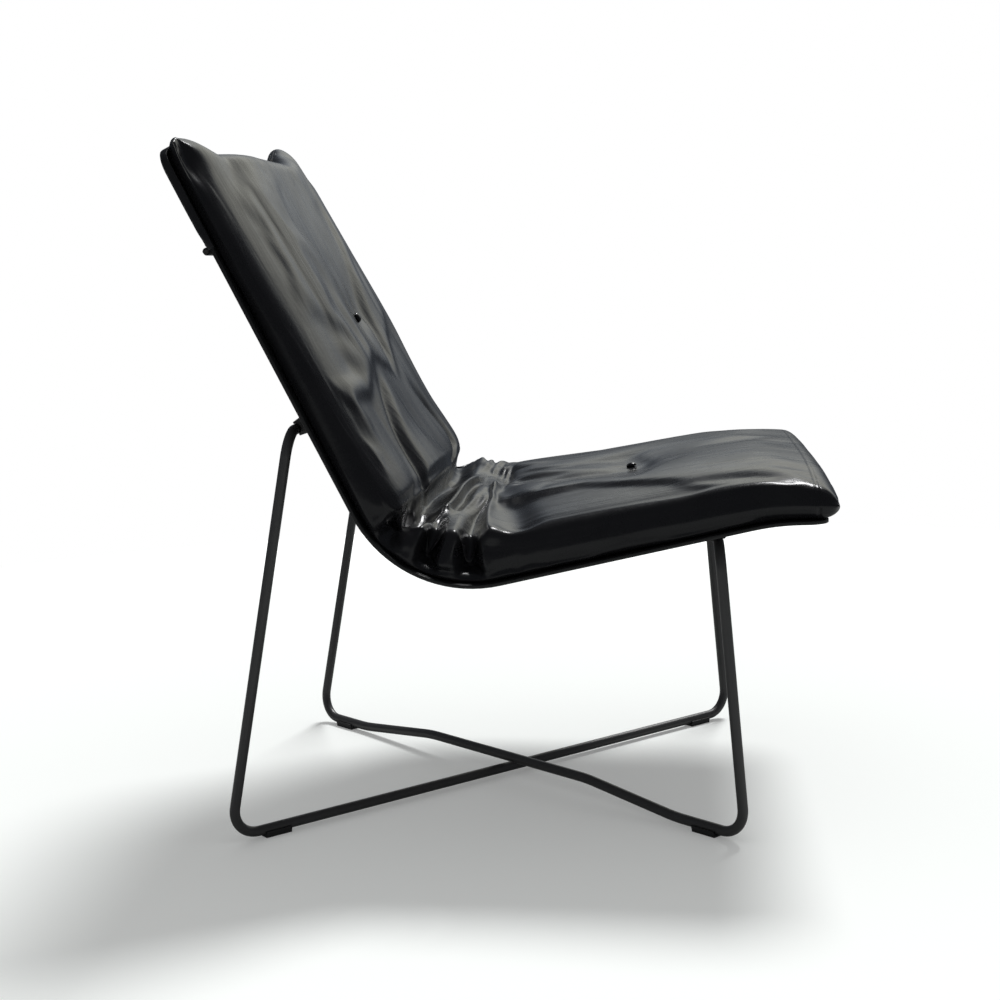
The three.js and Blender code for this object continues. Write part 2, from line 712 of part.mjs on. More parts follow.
function padRing(s, inset, end) {
  const half = padHalf(s) - inset;
  const face = FACE_ACROSS.map((u) => place(u * half, s - earShift(s, u), padFace(s, u, inset, end)));
  const underside = UNDERSIDE_ACROSS.map((u) => (
    place(u * half, s - earShift(s, u), padUnderside(s, u, inset, end))));
  return [...face, ...underside];
}

// Stations along the pad: dense at the ends, round the tufts and among the gathers.
function padStations(start, end) {
  const ends = END_STATIONS.map((share) => share * PAD_END_ROUND);
  const span = (from, to, step) => {
    const count = Math.ceil((to - from) / step);
    return Array.from({ length: count + 1 }, (_, i) => from + (to - from) * i / count);
  };
  const [back, seat] = TUFTS.map(({ s }) => s);
  const first = PAD_START + PAD_END_ROUND;
  const last = end - PAD_END_ROUND;
  const stations = [
    ...ends.map((distance) => PAD_START + distance),
    ...span(first, back - TUFT_STEP, PLAIN_STEP),
    back,
    ...span(back + TUFT_STEP, FOLD_START, PLAIN_STEP),
    ...span(FOLD_START, FOLD_END, GATHER_STEP),
    ...span(FOLD_END, seat - TUFT_STEP, PLAIN_STEP),
    seat,
    ...span(seat + TUFT_STEP, LIP.begin, PLAIN_STEP),
    ...stationsAlong(LIP, SHELL_FACET).filter((s) => s < last),
    ...ends.map((distance) => end - distance).reverse(),
  ];
  const inOrder = stations.filter((s) => s >= start).sort((a, b) => a - b);
  return inOrder.filter((s, i) => i === 0 || s - inOrder[i - 1] > CLOSEST);
}

function padRings(inset, start = PAD_START) {
  const end = PAD_END - inset;
  return padStations(start, end).map((s) => padRing(s, inset, end));
}

const CORE_INSET = LEATHER + SEAT_GAP;
const FAR = 2 * (EDGE_FOLD + CROWN);            // well outside the pad

function zipHalf() {
  return ZIP_SHARE * (padHalf(PAD_START) - LEATHER);
}

// The zip lies in the mouth of the case, a slot that is lowest at the zip's two ends.
function zipRings() {
  const half = zipHalf();
  const low = padUnderside(PAD_START, ZIP_SHARE, LEATHER, PAD_END) + SEAT_GAP;
  const high = padFace(PAD_START, ZIP_SHARE, LEATHER, PAD_END) - SEAT_GAP;
  return [PAD_START, PAD_START + ZIP_DEPTH].map((s) => [
    place(-half, s, low),
    place(half, s, low),
    place(half, s, high),
    place(-half, s, high),
  ]);
}

function tuftLevels(s) {
  const seat = padFace(s, 0, 0, PAD_END) - SEAT_GAP;
  const anchor = padUnderside(s, 0, 0, PAD_END) - ANCHOR_CLEAR;
  return { seat, anchor };
}

function buildPad() {
  const coverCutters = [];
  const coreCutters = [];
  for (const { s } of TUFTS) {
    const frame = squareTo(s, 0, true);
    const bore = toSolid(post(CORD_HOLE, -FAR, FAR), frame);
    const { seat } = tuftLevels(s);
    coverCutters.push(bore, toSolid(post(BUTTON_DIAMETER + 2 * SEAT_GAP, seat, FAR), frame));
    coreCutters.push(bore);
  }
  const mouth = padRing(PAD_START - MOUTH_CUT, LEATHER, PAD_END - LEATHER);
  const hollow = toSolid(loft([mouth, ...padRings(LEATHER)]));
  add('pad_cover', cut(loft(padRings(0)), [hollow, ...coverCutters]), 'leather');
  const coreStart = PAD_START + PAD_END_ROUND;
  add('pad_core', cut(loft(padRings(CORE_INSET, coreStart)), coreCutters), 'fill');
  add('pad_zip', loft(zipRings()), 'cord');
  TUFTS.forEach(buildTuft);
}

function buildTuft({ name, s }) {
  const group = groupAt(squareTo(s, 0, true));
  const { seat, anchor } = tuftLevels(s);
  const base = seat + SEAT_GAP;
  const radius = BUTTON_DIAMETER / 2;
  const dome = Array.from({ length: DOME_STEPS }, (_, i) => {
    const angle = Math.PI / 2 * i / DOME_STEPS;
    return [radius * Math.cos(angle), base + BUTTON_RIM + (BUTTON_HEIGHT - BUTTON_RIM) * Math.sin(angle)];
  });
  const button = turned([[0, base], [radius, base], ...dome, [0, base + BUTTON_HEIGHT]], ROUND_SIDES);
  add(`${name}_button`, button, 'leather', group);
  add(`${name}_button_cord`, post(TUFT_CORD, anchor + SEAT_GAP, base - SEAT_GAP), 'cord', group);
  const disc = post(ANCHOR_DIAMETER, anchor - ANCHOR_THICKNESS, anchor, ROUND_SIDES);
  add(`${name}_button_anchor`, disc, 'nylon', group);
}

// Hood: a pocket over the shell's top edge, whose tongue is sewn to the pad's top end. In its own frame
// X runs across, Y up the back from the shell's top edge and Z towards the pad.
function buildHood() {
  const group = groupAt(squareTo(0, 0, true));
  const inner = SHELL_WIDTH / 2 + SLIDE_GAP;
  const outer = inner + LEATHER;
  const shellBack = -SHELL_THICKNESS - SLIDE_GAP;
  const tip = padUnderside(PAD_START, 0, 0, PAD_END) - SEAM_DROP;
  const seam = zipHalf();
  const top = SLIDE_GAP + LEATHER;
  const walls = block([-outer, -HOOD_DROP, shellBack - LEATHER], [outer, top, 0]);
  const pocket = block([-inner, -HOOD_DROP - DRILL, shellBack], [inner, SLIDE_GAP, DRILL]);
  const tongue = block([-seam, SLIDE_GAP, shellBack], [seam, top, tip]);
  const roll = (diameter, reach) => post(diameter, -reach, reach).rotateY(Math.PI / 2)
    .translate(0, -HOOD_DROP, shellBack - HEM_DIAMETER / 2);
  const solid = toSolid(walls).subtract(toSolid(pocket)).add(toSolid(tongue))
    .add(toSolid(roll(HEM_DIAMETER, outer)))
    .subtract(toSolid(roll(HEM_CORD + 2 * SEAT_GAP, outer + DRILL)));
  add('pad_hood', toGeometry(solid), 'leather', group);
  add('hood_hem_cord', roll(HEM_CORD, outer - LEATHER), 'cord', group);
}

buildBase();
buildShell();
buildBrackets();
buildPad();
buildHood();

// The origin lies on the floor under the middle of the whole chair.
chair.updateMatrixWorld(true);
const reach = new THREE.Box3().setFromObject(chair, true);
chair.position.set(0, -(reach.min.y + reach.max.y) / 2, -reach.min.z);

export default chair;
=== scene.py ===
"""Lounge chair: a tufted leather pad slung over a bent shell, on a base of two crossed rods.

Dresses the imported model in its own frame. Sizes are reckoned in millimetres and laid down in metres.
"""

import math

import bmesh
import bpy
import numpy as np
from bpy.props import FloatProperty, FloatVectorProperty, PointerProperty
from mathutils import Matrix, Vector, noise


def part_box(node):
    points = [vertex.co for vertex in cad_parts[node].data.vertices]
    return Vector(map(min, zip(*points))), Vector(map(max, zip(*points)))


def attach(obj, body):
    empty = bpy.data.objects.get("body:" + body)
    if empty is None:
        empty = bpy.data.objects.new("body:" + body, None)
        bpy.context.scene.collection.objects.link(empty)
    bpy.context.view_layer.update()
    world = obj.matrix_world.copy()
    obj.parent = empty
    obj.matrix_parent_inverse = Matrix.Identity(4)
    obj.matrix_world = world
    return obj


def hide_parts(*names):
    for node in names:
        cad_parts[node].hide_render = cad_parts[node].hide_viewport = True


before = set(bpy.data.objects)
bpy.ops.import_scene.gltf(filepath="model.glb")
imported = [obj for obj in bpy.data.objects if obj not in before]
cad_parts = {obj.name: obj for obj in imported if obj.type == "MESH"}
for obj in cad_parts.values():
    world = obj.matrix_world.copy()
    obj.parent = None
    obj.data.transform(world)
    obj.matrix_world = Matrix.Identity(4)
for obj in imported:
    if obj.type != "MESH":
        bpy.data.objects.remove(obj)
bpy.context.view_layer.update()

bl_info = {
    "name": "Sling lounge chair",
    "version": (1, 0, 0),
    "blender": (4, 5, 0),
    "location": "3D View > Sidebar > Chair",
    "description": "Models the pad, hood, shell, rods and stage of a lounge chair",
    "category": "Object",
}

MM = 0.001
CLOSE, TINY = 1e-5, 1e-6        # points this near each other are taken as one, in metres

# Base, shell and screws, in millimetres, as in the solids
SEAT_GAP = 0.3
WELD_GAP = 0.3
WELD_BEAD = 1.1
WELD_RIPPLE, WELD_RIPPLES = 0.18, 17    # height of its ripples, as a share of the bead's, and their number
SADDLE_WIDTH = 17
SADDLE_EDGE = 1
SADDLE_SOLE = 2
BRACKET_FOOT = 24
BRACKET_LENGTH = 46
BRACKET_INSET = 34
GLIDE_FOOT = 14
GLIDE_LENGTH = 34
SCREW_DIAMETER = 5
SCREW_HEAD = 10
SCREW_SPACING = 26
DRILL_ABOVE, DRILL_DEEP = 1, 10
SADDLE_BREAK, SHELL_BREAK = 0.7, 0.8    # their edges are broken this wide
SHELL_SHEEN, ROD_SHEEN, BRACKET_SHEEN = 0.45, 0.36, 0.4     # roughness of the coat
SHELL_PEEL, ROD_PEEL = 2.2, 1.6         # width of the coat's orange peel

# Pad, in millimetres
PAD_WAIST = 5                   # the sides draw in between their corners
SEAM_SHARE = 0.4                # height of the side seam, of the shoulder's
MOUTH_SHARE = 0.2               # of the thickness, left at the very ends
SEAT_EDGE, FOLD_EDGE = 17, 5    # radius of the seat's upper edges, and of the sharper ones in the fold
FOLD_EDGE_AT, FOLD_EDGE_REACH = 575, 85     # where along the shell, and how far to each side
BACK_ROLL, BACK_EDGE = 108, 30  # width and height of the rolls along the back's edges
ROLL_START, ROLL_END = 400, 560     # the rolls turn into boxed edges here
CROWN_POWER = 4
SOLE_ROUND = 9                  # lower edge
SOLE_GAP = 0.6                  # underside to shell
SIDE_BULGE = 3
END_NARROW = 9                  # the ends are this much narrower on each side
EAR_REACH = 110
EAR_SPANS = (0.3, 0.82), (0.62, 0.93)   # where the ears rise, on the left and on the right
CORNER_DROP, CORNER_FROM = 10, 0.86     # the corners themselves are rounded off
TOP_SAG = 9                     # the middle of the top edge hangs this low
TUFT_WIDE, TUFT_LONG, TUFT_LIFT = 85, 60, 5
BUTTON_RIM = 1.5                # above the skin
BUTTON_FOOT, BUTTON_DOME = 0.25, 0.62   # height below and above its rim, of its radius
LOBE_HEIGHT, LOBE_AT, LOBE_REACH = 9, 448, 58       # the lower back bulges over the fold
BACK_DISH, BACK_DISH_WIDE, BACK_DISH_AT, BACK_DISH_REACH = 7, 110, 230, 200     # and is hollow above that
PAD_STEP, FOLD_STEP = 8.5, 4.8  # between rows, and in the fold
FOLD_STEP_REACH, RULER_STEPS = 130, 400
PAD_COLUMNS = 96                # over the face
PAD_CROWDING = 0.25             # columns lie closer together towards the sides
END_ROWS = 6
STROKE_STEPS, STROKE_START = 6, 0.05
RIM_FROM, RIM_POWER = -20, 4    # grooves deeper than this have sharp rims
BUTTON_HOLD = 10                # skin this near a button is drawn down by its cord
CUT_SPARE, CUT_REACH = 0.28, 110    # share by which the filling shortens the skin in the fold
CLOTH_FRAMES = 24
CLOTH_SMOOTH = 2                # rounds of evening out
CLOTH_CAP, PLAIN_CAP, CAP_REACH = 8, 3, 150     # most that the skin moves, in the fold and elsewhere

# Thick hide, pressed outwards by the filling
HIDE_AS_CLOTH = {
    "quality": 7,
    "mass": 0.3,
    "tension_stiffness": 40,
    "compression_stiffness": 20,
    "shear_stiffness": 12,
    "bending_stiffness": 40,
    "tension_damping": 8,
    "compression_damping": 8,
    "shear_damping": 8,
    "bending_damping": 1,
    "air_damping": 2,
    "use_pressure": True,
    "uniform_pressure_force": 0.7,
}
HIDE_APART = 3                  # folds of it come no nearer to each other

# Folds of the pad: height, width, the share of the line over which the fold runs out at its end, and the
# line, as (along the shell, across the face). Across counts on down the sides, from about 300.
FOLDS = [
    (-30, 13, 0.05, [(486, -350), (490, -302), (497, -250), (500, -175), (505, -100), (506, 0), (500, 60),
                     (490, 150), (483, 230), (478, 302), (476, 350)]),
    (-10, 28, 0.05, [(484, -330), (488, -250), (494, -150), (500, 0), (488, 150), (478, 330)]),
    (-9, 12, 0.2, [(495, -190), (424, -170), (372, -150), (300, -90)]),
    (-9, 12, 0.2, [(503, 20), (460, 80), (418, 110), (330, 60)]),
    (10, 11, 0.35, [(510, -225), (514, -175), (524, -80), (532, -10), (538, 95)]),
    (-32, 12, 0.25, [(546, -372), (540, -335), (534, -302), (530, -274)]),
    (-10, 13, 0.5, [(533, -296), (524, -260), (512, -225)]),
    (5, 18, 0.5, [(571, -345), (571, -302), (566, -240), (560, -180)]),
    (-32, 12, 0.25, [(598, -372), (595, -335), (593, -302), (591, -272)]),
    (-9, 13, 0.5, [(593, -296), (592, -230), (590, -140)]),
    (-10, 14, 0.4, [(532, -210), (541, -120), (547, -20)]),
    (9, 13, 0.45, [(634, -310), (622, -230), (606, -110), (582, -20), (545, 90)]),
    (8, 12, 0.5, [(488, 340), (492, 240), (515, 165), (538, 100)]),
    (8, 12, 0.5, [(529, 340), (528, 280), (533, 190), (540, 105)]),
    (8, 14, 0.5, [(597, 340), (594, 295), (570, 200), (545, 110)]),
    (4, 16, 0.4, [(548, 110), (590, 125), (650, 120), (700, 110)]),
    (4, 16, 0.4, [(555, 80), (600, 20), (650, 0), (720, -5)]),
    (-14, 12, 0.5, [(512, 345), (512, 250), (526, 150)]),
    (-12, 13, 0.5, [(564, 350), (558, 260), (550, 160)]),
    (-9, 14, 0.5, [(-5, -262), (25, -275), (60, -285)]),
    (-6, 18, 0.4, [(668, -300), (650, -180), (630, -80), (612, 60)]),
]

# Hood, zip and stitches, in millimetres
HIDE = 2.5
HIDE_SHEEN, HOOD_SHEEN, BUTTON_SHEEN = 0.28, 0.42, 0.22     # roughness of the finish
ON_FACE = 0.1                   # points this near a face of the hood lie on it
HOOD_GAP = 0.4                  # hood to shell
HOOD_TONGUE = 11.5              # from the shell's face up to the pad's mouth
HOOD_LIP = 2                    # the band stands this far above the shell's face
HOOD_BILLOW = 1.6
HOOD_EVEN, HOOD_WAVE_WIDE, HOOD_WAVE_TALL = 0.6, 90, 60     # even share of the billow, size of its waves
HOOD_CUT_REACH, HOOD_CUT_WIDE, HOOD_CUT_TALL, HOOD_CUT_CLEAR = 240, 48, 24, 8   # grid of the back panel
HOOD_BREAK = 0.4
HEM_ROUND, HEM_SKIN = 3.4, 1.2  # middle radius and thickness of the rolled hem
HEM_EDGE = 0.5                  # points this little above the hem's line belong to it
HEM_STEPS, HEM_TURN = 18, math.radians(330)
STITCH_LONG, STITCH_THICK, STITCH_PITCH, STITCH_EDGE = 3.2, 0.8, 4.2, 5
ZIP_TAPE, ZIP_TAPE_THICK, ZIP_TAPE_BREAK, ZIP_TAPE_STEP, ZIP_PROUD = 7.2, 0.8, 0.2, 6, 0.4
TOOTH_PITCH, TOOTH_OFFSET = 1.7, 0.7
TOOTH_SIZE = 1.1, 1.5, 2.6
TOOTH_INSET, TOOTH_HEAD = 0.25, 0.3     # the head is drawn in and stands up by this
SLIDER_SIZE = 10, 3.4, 7.6
SLIDER_TAPER, SLIDER_BREAK, SLIDER_IN = 0.72, 0.6, 9    # width of its narrow end, edges, place from the end
BRIDGE_INSET, BRIDGE_HIGH = 2, 1.5
TAB_LONG, TAB_WIDE, TAB_THICK, TAB_CORNER, TAB_RIM = 18, 5, 1.1, 1.6, 1.2
TAB_AT = 9, 3.2                 # its middle, along the zip and above it

# Fineness of the round pieces
ROD_SIDES = 28
ROD_FACET = math.radians(4)

# Stage, in metres and degrees
FLOOR_RADIUS = 2.1
FLOOR_FADE = 0.5, 0.95          # shares of the radius between which the glow rises
FLOOR_GLOW = 0.16, 0.5          # for the camera alone, round the chair and at the rim
FLOOR_SHINE = 0.5               # share of the floor's brightness that the leather mirrors
PANEL_WAY = 0.9, -0.32, 0.3     # towards the middle of the bright panel
PANEL_SPREAD = 0.8, 0.97        # its soft sides, by how well a direction agrees with that
PANEL_RISE = 0.02, 0.38         # its soft lower edge, as a height
PANEL_LEVEL = 0.07, 1.0         # what is mirrored away from the panel, and on it
PANEL_TINT = "#dceaff", "#fffff4"
SOFT_LIGHT = 0.42               # what the surroundings give to matt surfaces
KEY_POWER, KEY_SPREAD = 2.35, 17
KEY_WAY = -0.507, 0.169, -0.845
CAMERA_AT = -2.08565, -0.17164, 0.64799
CAMERA_TURNS = 5.6118, 7.8711, -1.9907      # yaw, pitch and roll
SENSOR, FOCAL_SHARE = 36, 1.67  # picture plane's width in millimetres, and the focal length over it


def linear(hex_colour):
    """A hex sRGB colour as the linear RGBA that shaders take."""
    channels = [int(hex_colour[i:i + 2], 16) / 255 for i in (1, 3, 5)]
    return [c / 12.92 if c <= 0.04045 else ((c + 0.055) / 1.055) ** 2.4 for c in channels] + [1.0]


def size(name, description, millimetres):
    return FloatProperty(name=name, description=description, default=millimetres * MM, unit="LENGTH")


def angle(name, description, degrees):
    return FloatProperty(
        name=name, description=description, default=math.radians(degrees), subtype="ANGLE")


def colour(name, description, hex_colour):
    return FloatVectorProperty(
        name=name, description=description, default=linear(hex_colour), size=4, subtype="COLOR")


class ChairShellSizes(bpy.types.PropertyGroup):
    """The bent sheet that carries the pad."""

    width: size("Width", "Across the seat", 610)
    thickness: size("Thickness", "Of the sheet", 4)
    corner: size("Corner", "Plan radius of its four corners", 24)
    fold_height: size("Fold height", "Lowest point above the floor", 303)
    fold_radius: size("Fold radius", "On the underside, between back and seat", 146)
    back: size("Back", "Straight stretch above the fold", 443)
    seat: size("Seat", "Straight stretch in front of the fold", 280)
    lip_radius: size("Lip radius", "Bend that brings the front edge level", 260)
    lip: size("Lip", "Level stretch at the front edge", 31)
    lean: angle("Lean", "Of the back, from upright", 25.6)
    rise: angle("Rise", "Of the seat, towards the front", 11.4)


class ChairBaseSizes(bpy.types.PropertyGroup):
    """The two bent rods with their saddles and glides."""

    rod: size("Rod", "Diameter", 12)
    rod_height: size("Rod height", "Centre line of the floor runs above the floor", 8.8)
    leg_inset: size("Leg inset", "Leg's centre line, in from the shell's side edge", 35)
    fold_ahead: size("Fold ahead", "The fold's centre in front of the base's centre", 2.7)
    foot_spread: size("Foot spread", "Front to rear, between the corners of the foot bends", 588)
    foot_bend: size("Foot bend", "Radius of the bends on the floor", 32)
    top_bend: size("Top bend", "Radius of the bends into the cross bars", 28)
    rear_bar: size("Rear bar", "Along the back from the end of the fold", 113)
    rear_standoff: size("Rear standoff", "Rear bar's centre line to the shell's back", 26)
    front_bar: size("Front bar", "Along the seat from the end of the fold", 241)
    front_standoff: size("Front standoff", "Front bar's centre line to the shell's underside", 14)
    arch_start: size("Arch start", "Where the upper rod leaves the floor", 105)
    arch_top: size("Arch top", "Where it is level again", 250)
    arch_bend: size("Arch bend", "Radius of the arch's bends", 250)
    arch_lift: size("Arch lift", "Of the upper rod's centre line at the crossing", 16)


class ChairPadSizes(bpy.types.PropertyGroup):
    """The leather pad, with thickness measured from the shell."""

    inset: size("Inset", "Pad's side, in from the shell's side edge", 3)
    edge_end: size("Edge at the ends", "Thickness at the shoulder of the sides", 38)
    edge_fold: size("Edge in the fold", "Thickness where the filling is squeezed together", 58)
    crown: size("Crown", "The middle stands this far above the shoulders", 15)
    front_over: size("Front overhang", "Past the shell's front edge", 13)
    end_round: size("End round", "Length over which the ends are rounded", 24)
    left_ear: size("Left ear", "The top's left corner above its middle", 33)
    right_ear: size("Right ear", "The top's right corner above its middle", 13)
    back_tuft: size("Back tuft", "Above the end of the fold", 204)
    seat_tuft: size("Seat tuft", "In front of the end of the fold", 156)
    tuft_sink: size("Tuft sink", "Depth of the dimples round the buttons", 9)
    button: size("Button", "Diameter", 13)
    hood_drop: size("Hood drop", "Of the hood down the shell's back", 118)
    zip_half: size("Zip", "Half the length of the zip and of the hood's tongue", 164.7)


class ChairFinishes(bpy.types.PropertyGroup):
    """Base colours of the materials."""

    leather: colour("Leather", "Black hide of the pad and hood", "#141416")
    button: colour("Button leather", "Glossy hide of the buttons", "#0f0f10")
    rod: colour("Rod coat", "Satin black powder coat", "#303031")
    shell: colour("Shell coat", "Satin black coat on sheet metal", "#151516")
    oxide: colour("Black oxide", "Screws", "#2a2a2b")
    nylon: colour("Nylon", "Glides and anchors", "#1f1f20")
    thread: colour("Thread", "Waxed sewing thread, cord and tape", "#1d1b1a")
    floor: colour("Floor", "Pale studio floor", "#e9ecea")


def sizes(group):
    """Sizes of one property group in millimetres, and its angles in radians."""
    held = getattr(bpy.context.scene, group)
    angles = {"lean", "rise"}
    names = held.__annotations__
    return {n: getattr(held, n) / (1 if n in angles else MM) for n in names}


def finish_colour(name):
    return list(getattr(bpy.context.scene.chair_finishes, name))


# Side profile: the pad side of the shell from its top edge forwards, as in the solids


class Profile:
    """Straight and round stretches, with s along them, depth off them and x across the seat."""

    def __init__(self):
        shell = sizes("chair_shell")
        inside = shell["fold_radius"] - shell["thickness"]
        bend = math.pi / 2 - shell["lean"] + shell["rise"]
        heading = shell["lean"] - math.pi / 2
        y = -math.sin(heading) * inside + math.cos(heading) * shell["back"]
        z = shell["fold_height"] + shell["fold_radius"]
        z -= math.cos(heading) * inside + math.sin(heading) * shell["back"]
        plan = [
            (shell["back"], 0.0),
            (inside * bend, bend),
            (shell["seat"], 0.0),
            (shell["lip_radius"] * shell["rise"], -shell["rise"]),
            (shell["lip"], 0.0),
        ]
        self.stretches = []
        begin = 0.0
        for length, turn in plan:
            self.stretches.append((begin, length, turn, y, z, heading))
            y, z, heading = self.along(self.stretches[-1], length)
            begin += length
        self.length = begin
        self.fold_start, self.fold_end = [self.stretches[i][0] for i in (1, 2)]
        self.fold_middle = (self.fold_start + self.fold_end) / 2
        self.half = shell["width"] / 2
        self.thickness = shell["thickness"]
        self.shift = 0.0
        self.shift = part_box("seat_shell")[0].y / MM - y

    @staticmethod
    def along(stretch, distance):
        """Y, Z and heading this far along one stretch."""
        _, length, turn, y, z, heading = stretch
        if turn == 0:
            return y - np.cos(heading) * distance, z + np.sin(heading) * distance, heading + 0 * distance
        rate = turn / length
        now = heading + rate * distance
        y = y - (np.sin(now) - np.sin(heading)) / rate
        z = z + (np.cos(heading) - np.cos(now)) / rate
        return y, z, now

    def at(self, s):
        """Y, Z and heading at each s."""
        s = np.atleast_1d(np.asarray(s, float))
        found = np.zeros((3, len(s)))
        for i, stretch in enumerate(self.stretches):
            low = -np.inf if i == 0 else stretch[0]
            high = np.inf if i + 1 == len(self.stretches) else stretch[0] + stretch[1]
            inside = (s >= low) & (s < high)
            found[:, inside] = self.along(stretch, s[inside] - stretch[0])
        found[0] += self.shift
        return found

    def place(self, x, s, depth):
        """Points in millimetres."""
        y, z, heading = self.at(s)
        x, depth = np.broadcast_to(x, y.shape), np.broadcast_to(depth, y.shape)
        return np.stack([x, y + np.sin(heading) * depth, z + np.cos(heading) * depth], axis=1)

    def point(self, x, s, depth):
        """One point in metres."""
        return Vector(self.place(x, s, depth)[0] * MM)

    def square(self, s, depth, side=1):
        """A frame at s whose Z axis stands square to the shell, on the pad's side or the other."""
        heading = self.at(s)[2][0]
        out = Vector((0, math.sin(heading), math.cos(heading))) * side
        across = Vector((1, 0, 0))
        along = out.cross(across)
        turn = Matrix((across, along, out)).transposed().to_4x4()
        return Matrix.Translation(self.point(0, s, depth)) @ turn


# Making pieces


def mode(kind):
    bpy.ops.object.mode_set(mode=kind)


def select(action):
    bpy.ops.mesh.select_all(action=action)


def deselect():
    if bpy.context.object and bpy.context.object.mode != "OBJECT":
        mode("OBJECT")
    bpy.ops.object.select_all(action="DESELECT")


def only(piece):
    deselect()
    piece.select_set(True)
    bpy.context.view_layer.objects.active = piece
    return piece


def started(name):
    """The primitive that was just added, named, with its place in its mesh."""
    piece = bpy.context.object
    piece.name = piece.data.name = name
    bpy.ops.object.transform_apply(location=True, rotation=True, scale=True)
    return piece


def plane(name, place, wide, long):
    """A flat sheet to start from."""
    deselect()
    bpy.ops.mesh.primitive_plane_add(size=1)
    bpy.context.object.matrix_world = place @ Matrix.Diagonal((wide * MM, long * MM, 1, 1))
    return started(name)


def pick(piece, kind, test):
    """In edit mode, selects the vertices, edges or faces whose points all pass a test."""
    bpy.ops.mesh.select_mode(type={"verts": "VERT", "edges": "EDGE", "faces": "FACE"}[kind])
    select("DESELECT")
    mesh = bmesh.from_edit_mesh(piece.data)
    for part in getattr(mesh, kind):
        points = [part.co] if kind == "verts" else [v.co for v in part.verts]
        if all(test(p) for p in points):
            part.select_set(True)
    mesh.select_flush_mode()
    bmesh.update_edit_mesh(piece.data)


def assign(target, settings):
    for name, value in settings.items():
        setattr(target, name, value)


def apply_modifier(piece, kind, **settings):
    only(piece)
    made = piece.modifiers.new(kind, kind)
    assign(made, settings)
    bpy.ops.object.modifier_apply(modifier=made.name)


def extrude(step):
    """In edit mode, draws what is selected out by a step."""
    bpy.ops.mesh.extrude_region_move(TRANSFORM_OT_translate={"value": step})


def round_corners(radius, segments):
    """In edit mode, rounds the corners that are selected on a flat sheet."""
    bpy.ops.mesh.bevel(offset=radius * MM, offset_type="OFFSET", affect="VERTICES", segments=segments)


def break_edges(piece, width, segments=2, **limits):
    apply_modifier(piece, "BEVEL", width=width * MM, segments=segments, limit_method="ANGLE", **limits)


def outward(piece):
    """Merges doubles and turns all faces outwards."""
    only(piece)
    mode("EDIT")
    select("SELECT")
    bpy.ops.mesh.remove_doubles(threshold=TINY)
    bpy.ops.mesh.normals_make_consistent(inside=False)
    mode("OBJECT")


def smooth(piece, degrees):
    only(piece)
    bpy.ops.object.shade_smooth_by_angle(angle=math.radians(degrees))


def closed(piece, degrees=35):
    """Turns a finished piece's faces outwards, and shades it smooth but for its sharper edges."""
    outward(piece)
    smooth(piece, degrees)


def moved(piece, matrix):
    piece.data.transform(matrix)
    piece.data.update()
    return piece


def copied(piece, name, matrix):
    """A copy with its own mesh, put in place."""
    twin = piece.copy()
    twin.data = piece.data.copy()
    twin.name = twin.data.name = name
    bpy.context.scene.collection.objects.link(twin)
    return moved(twin, matrix)


def joined(pieces, name):
    deselect()
    for piece in pieces:
        piece.select_set(True)
    bpy.context.view_layer.objects.active = pieces[0]
    bpy.ops.object.join()
    piece = bpy.context.object
    piece.name = piece.data.name = name
    return piece


def repeated(model, name, places):
    """One piece with a copy of a small model at each place, given as matrices. The model is used up."""
    points = np.array([[*v.co, 1] for v in model.data.vertices])
    count = len(points)
    faces = [[k * count + v for v in p.vertices] for k in range(len(places)) for p in model.data.polygons]
    laid = np.einsum("kij,nj->kni", np.array(places), points)[:, :, :3]
    mesh = bpy.data.meshes.new(name)
    mesh.from_pydata(laid.reshape(-1, 3).tolist(), [], faces)
    bpy.data.objects.remove(model)
    piece = bpy.data.objects.new(name, mesh)
    bpy.context.scene.collection.objects.link(piece)
    closed(piece, 60)
    return piece


def finished(piece, material):
    """Gives a piece its one material."""
    piece.data.materials.clear()
    piece.data.materials.append(material)
    return piece


def dressed(piece, material, body, slot, *nodes):
    """Gives a finished piece its material and body, and hides the solids that it stands for. The slot is not
    used.
    """
    finished(piece, material)
    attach(piece, body)
    if nodes:
        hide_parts(*nodes)
    return piece


# Materials


def add_node(tree, kind, inputs=None, **settings):
    """Adds one node with its settings, and sets or links its inputs."""
    made = tree.nodes.new(kind)
    assign(made, settings)
    for key, value in (inputs or {}).items():
        if isinstance(value, bpy.types.NodeSocket):
            tree.links.new(value, made.inputs[key])
        else:
            made.inputs[key].default_value = value
    return made


def toned(base, factor):
    """A colour made lighter or darker by a factor, still opaque."""
    return [c * factor for c in base[:3]] + [1.0]


def material(name, coordinates="Object"):
    """A plain material, its node tree, its shader, and the places on the piece."""
    made = bpy.data.materials.new(name)
    made.use_nodes = True
    tree = made.node_tree
    tree.nodes.clear()
    shader = add_node(tree, "ShaderNodeBsdfPrincipled")
    add_node(tree, "ShaderNodeOutputMaterial", {"Surface": shader.outputs[0]})
    return made, tree, shader, add_node(tree, "ShaderNodeTexCoord").outputs[coordinates]


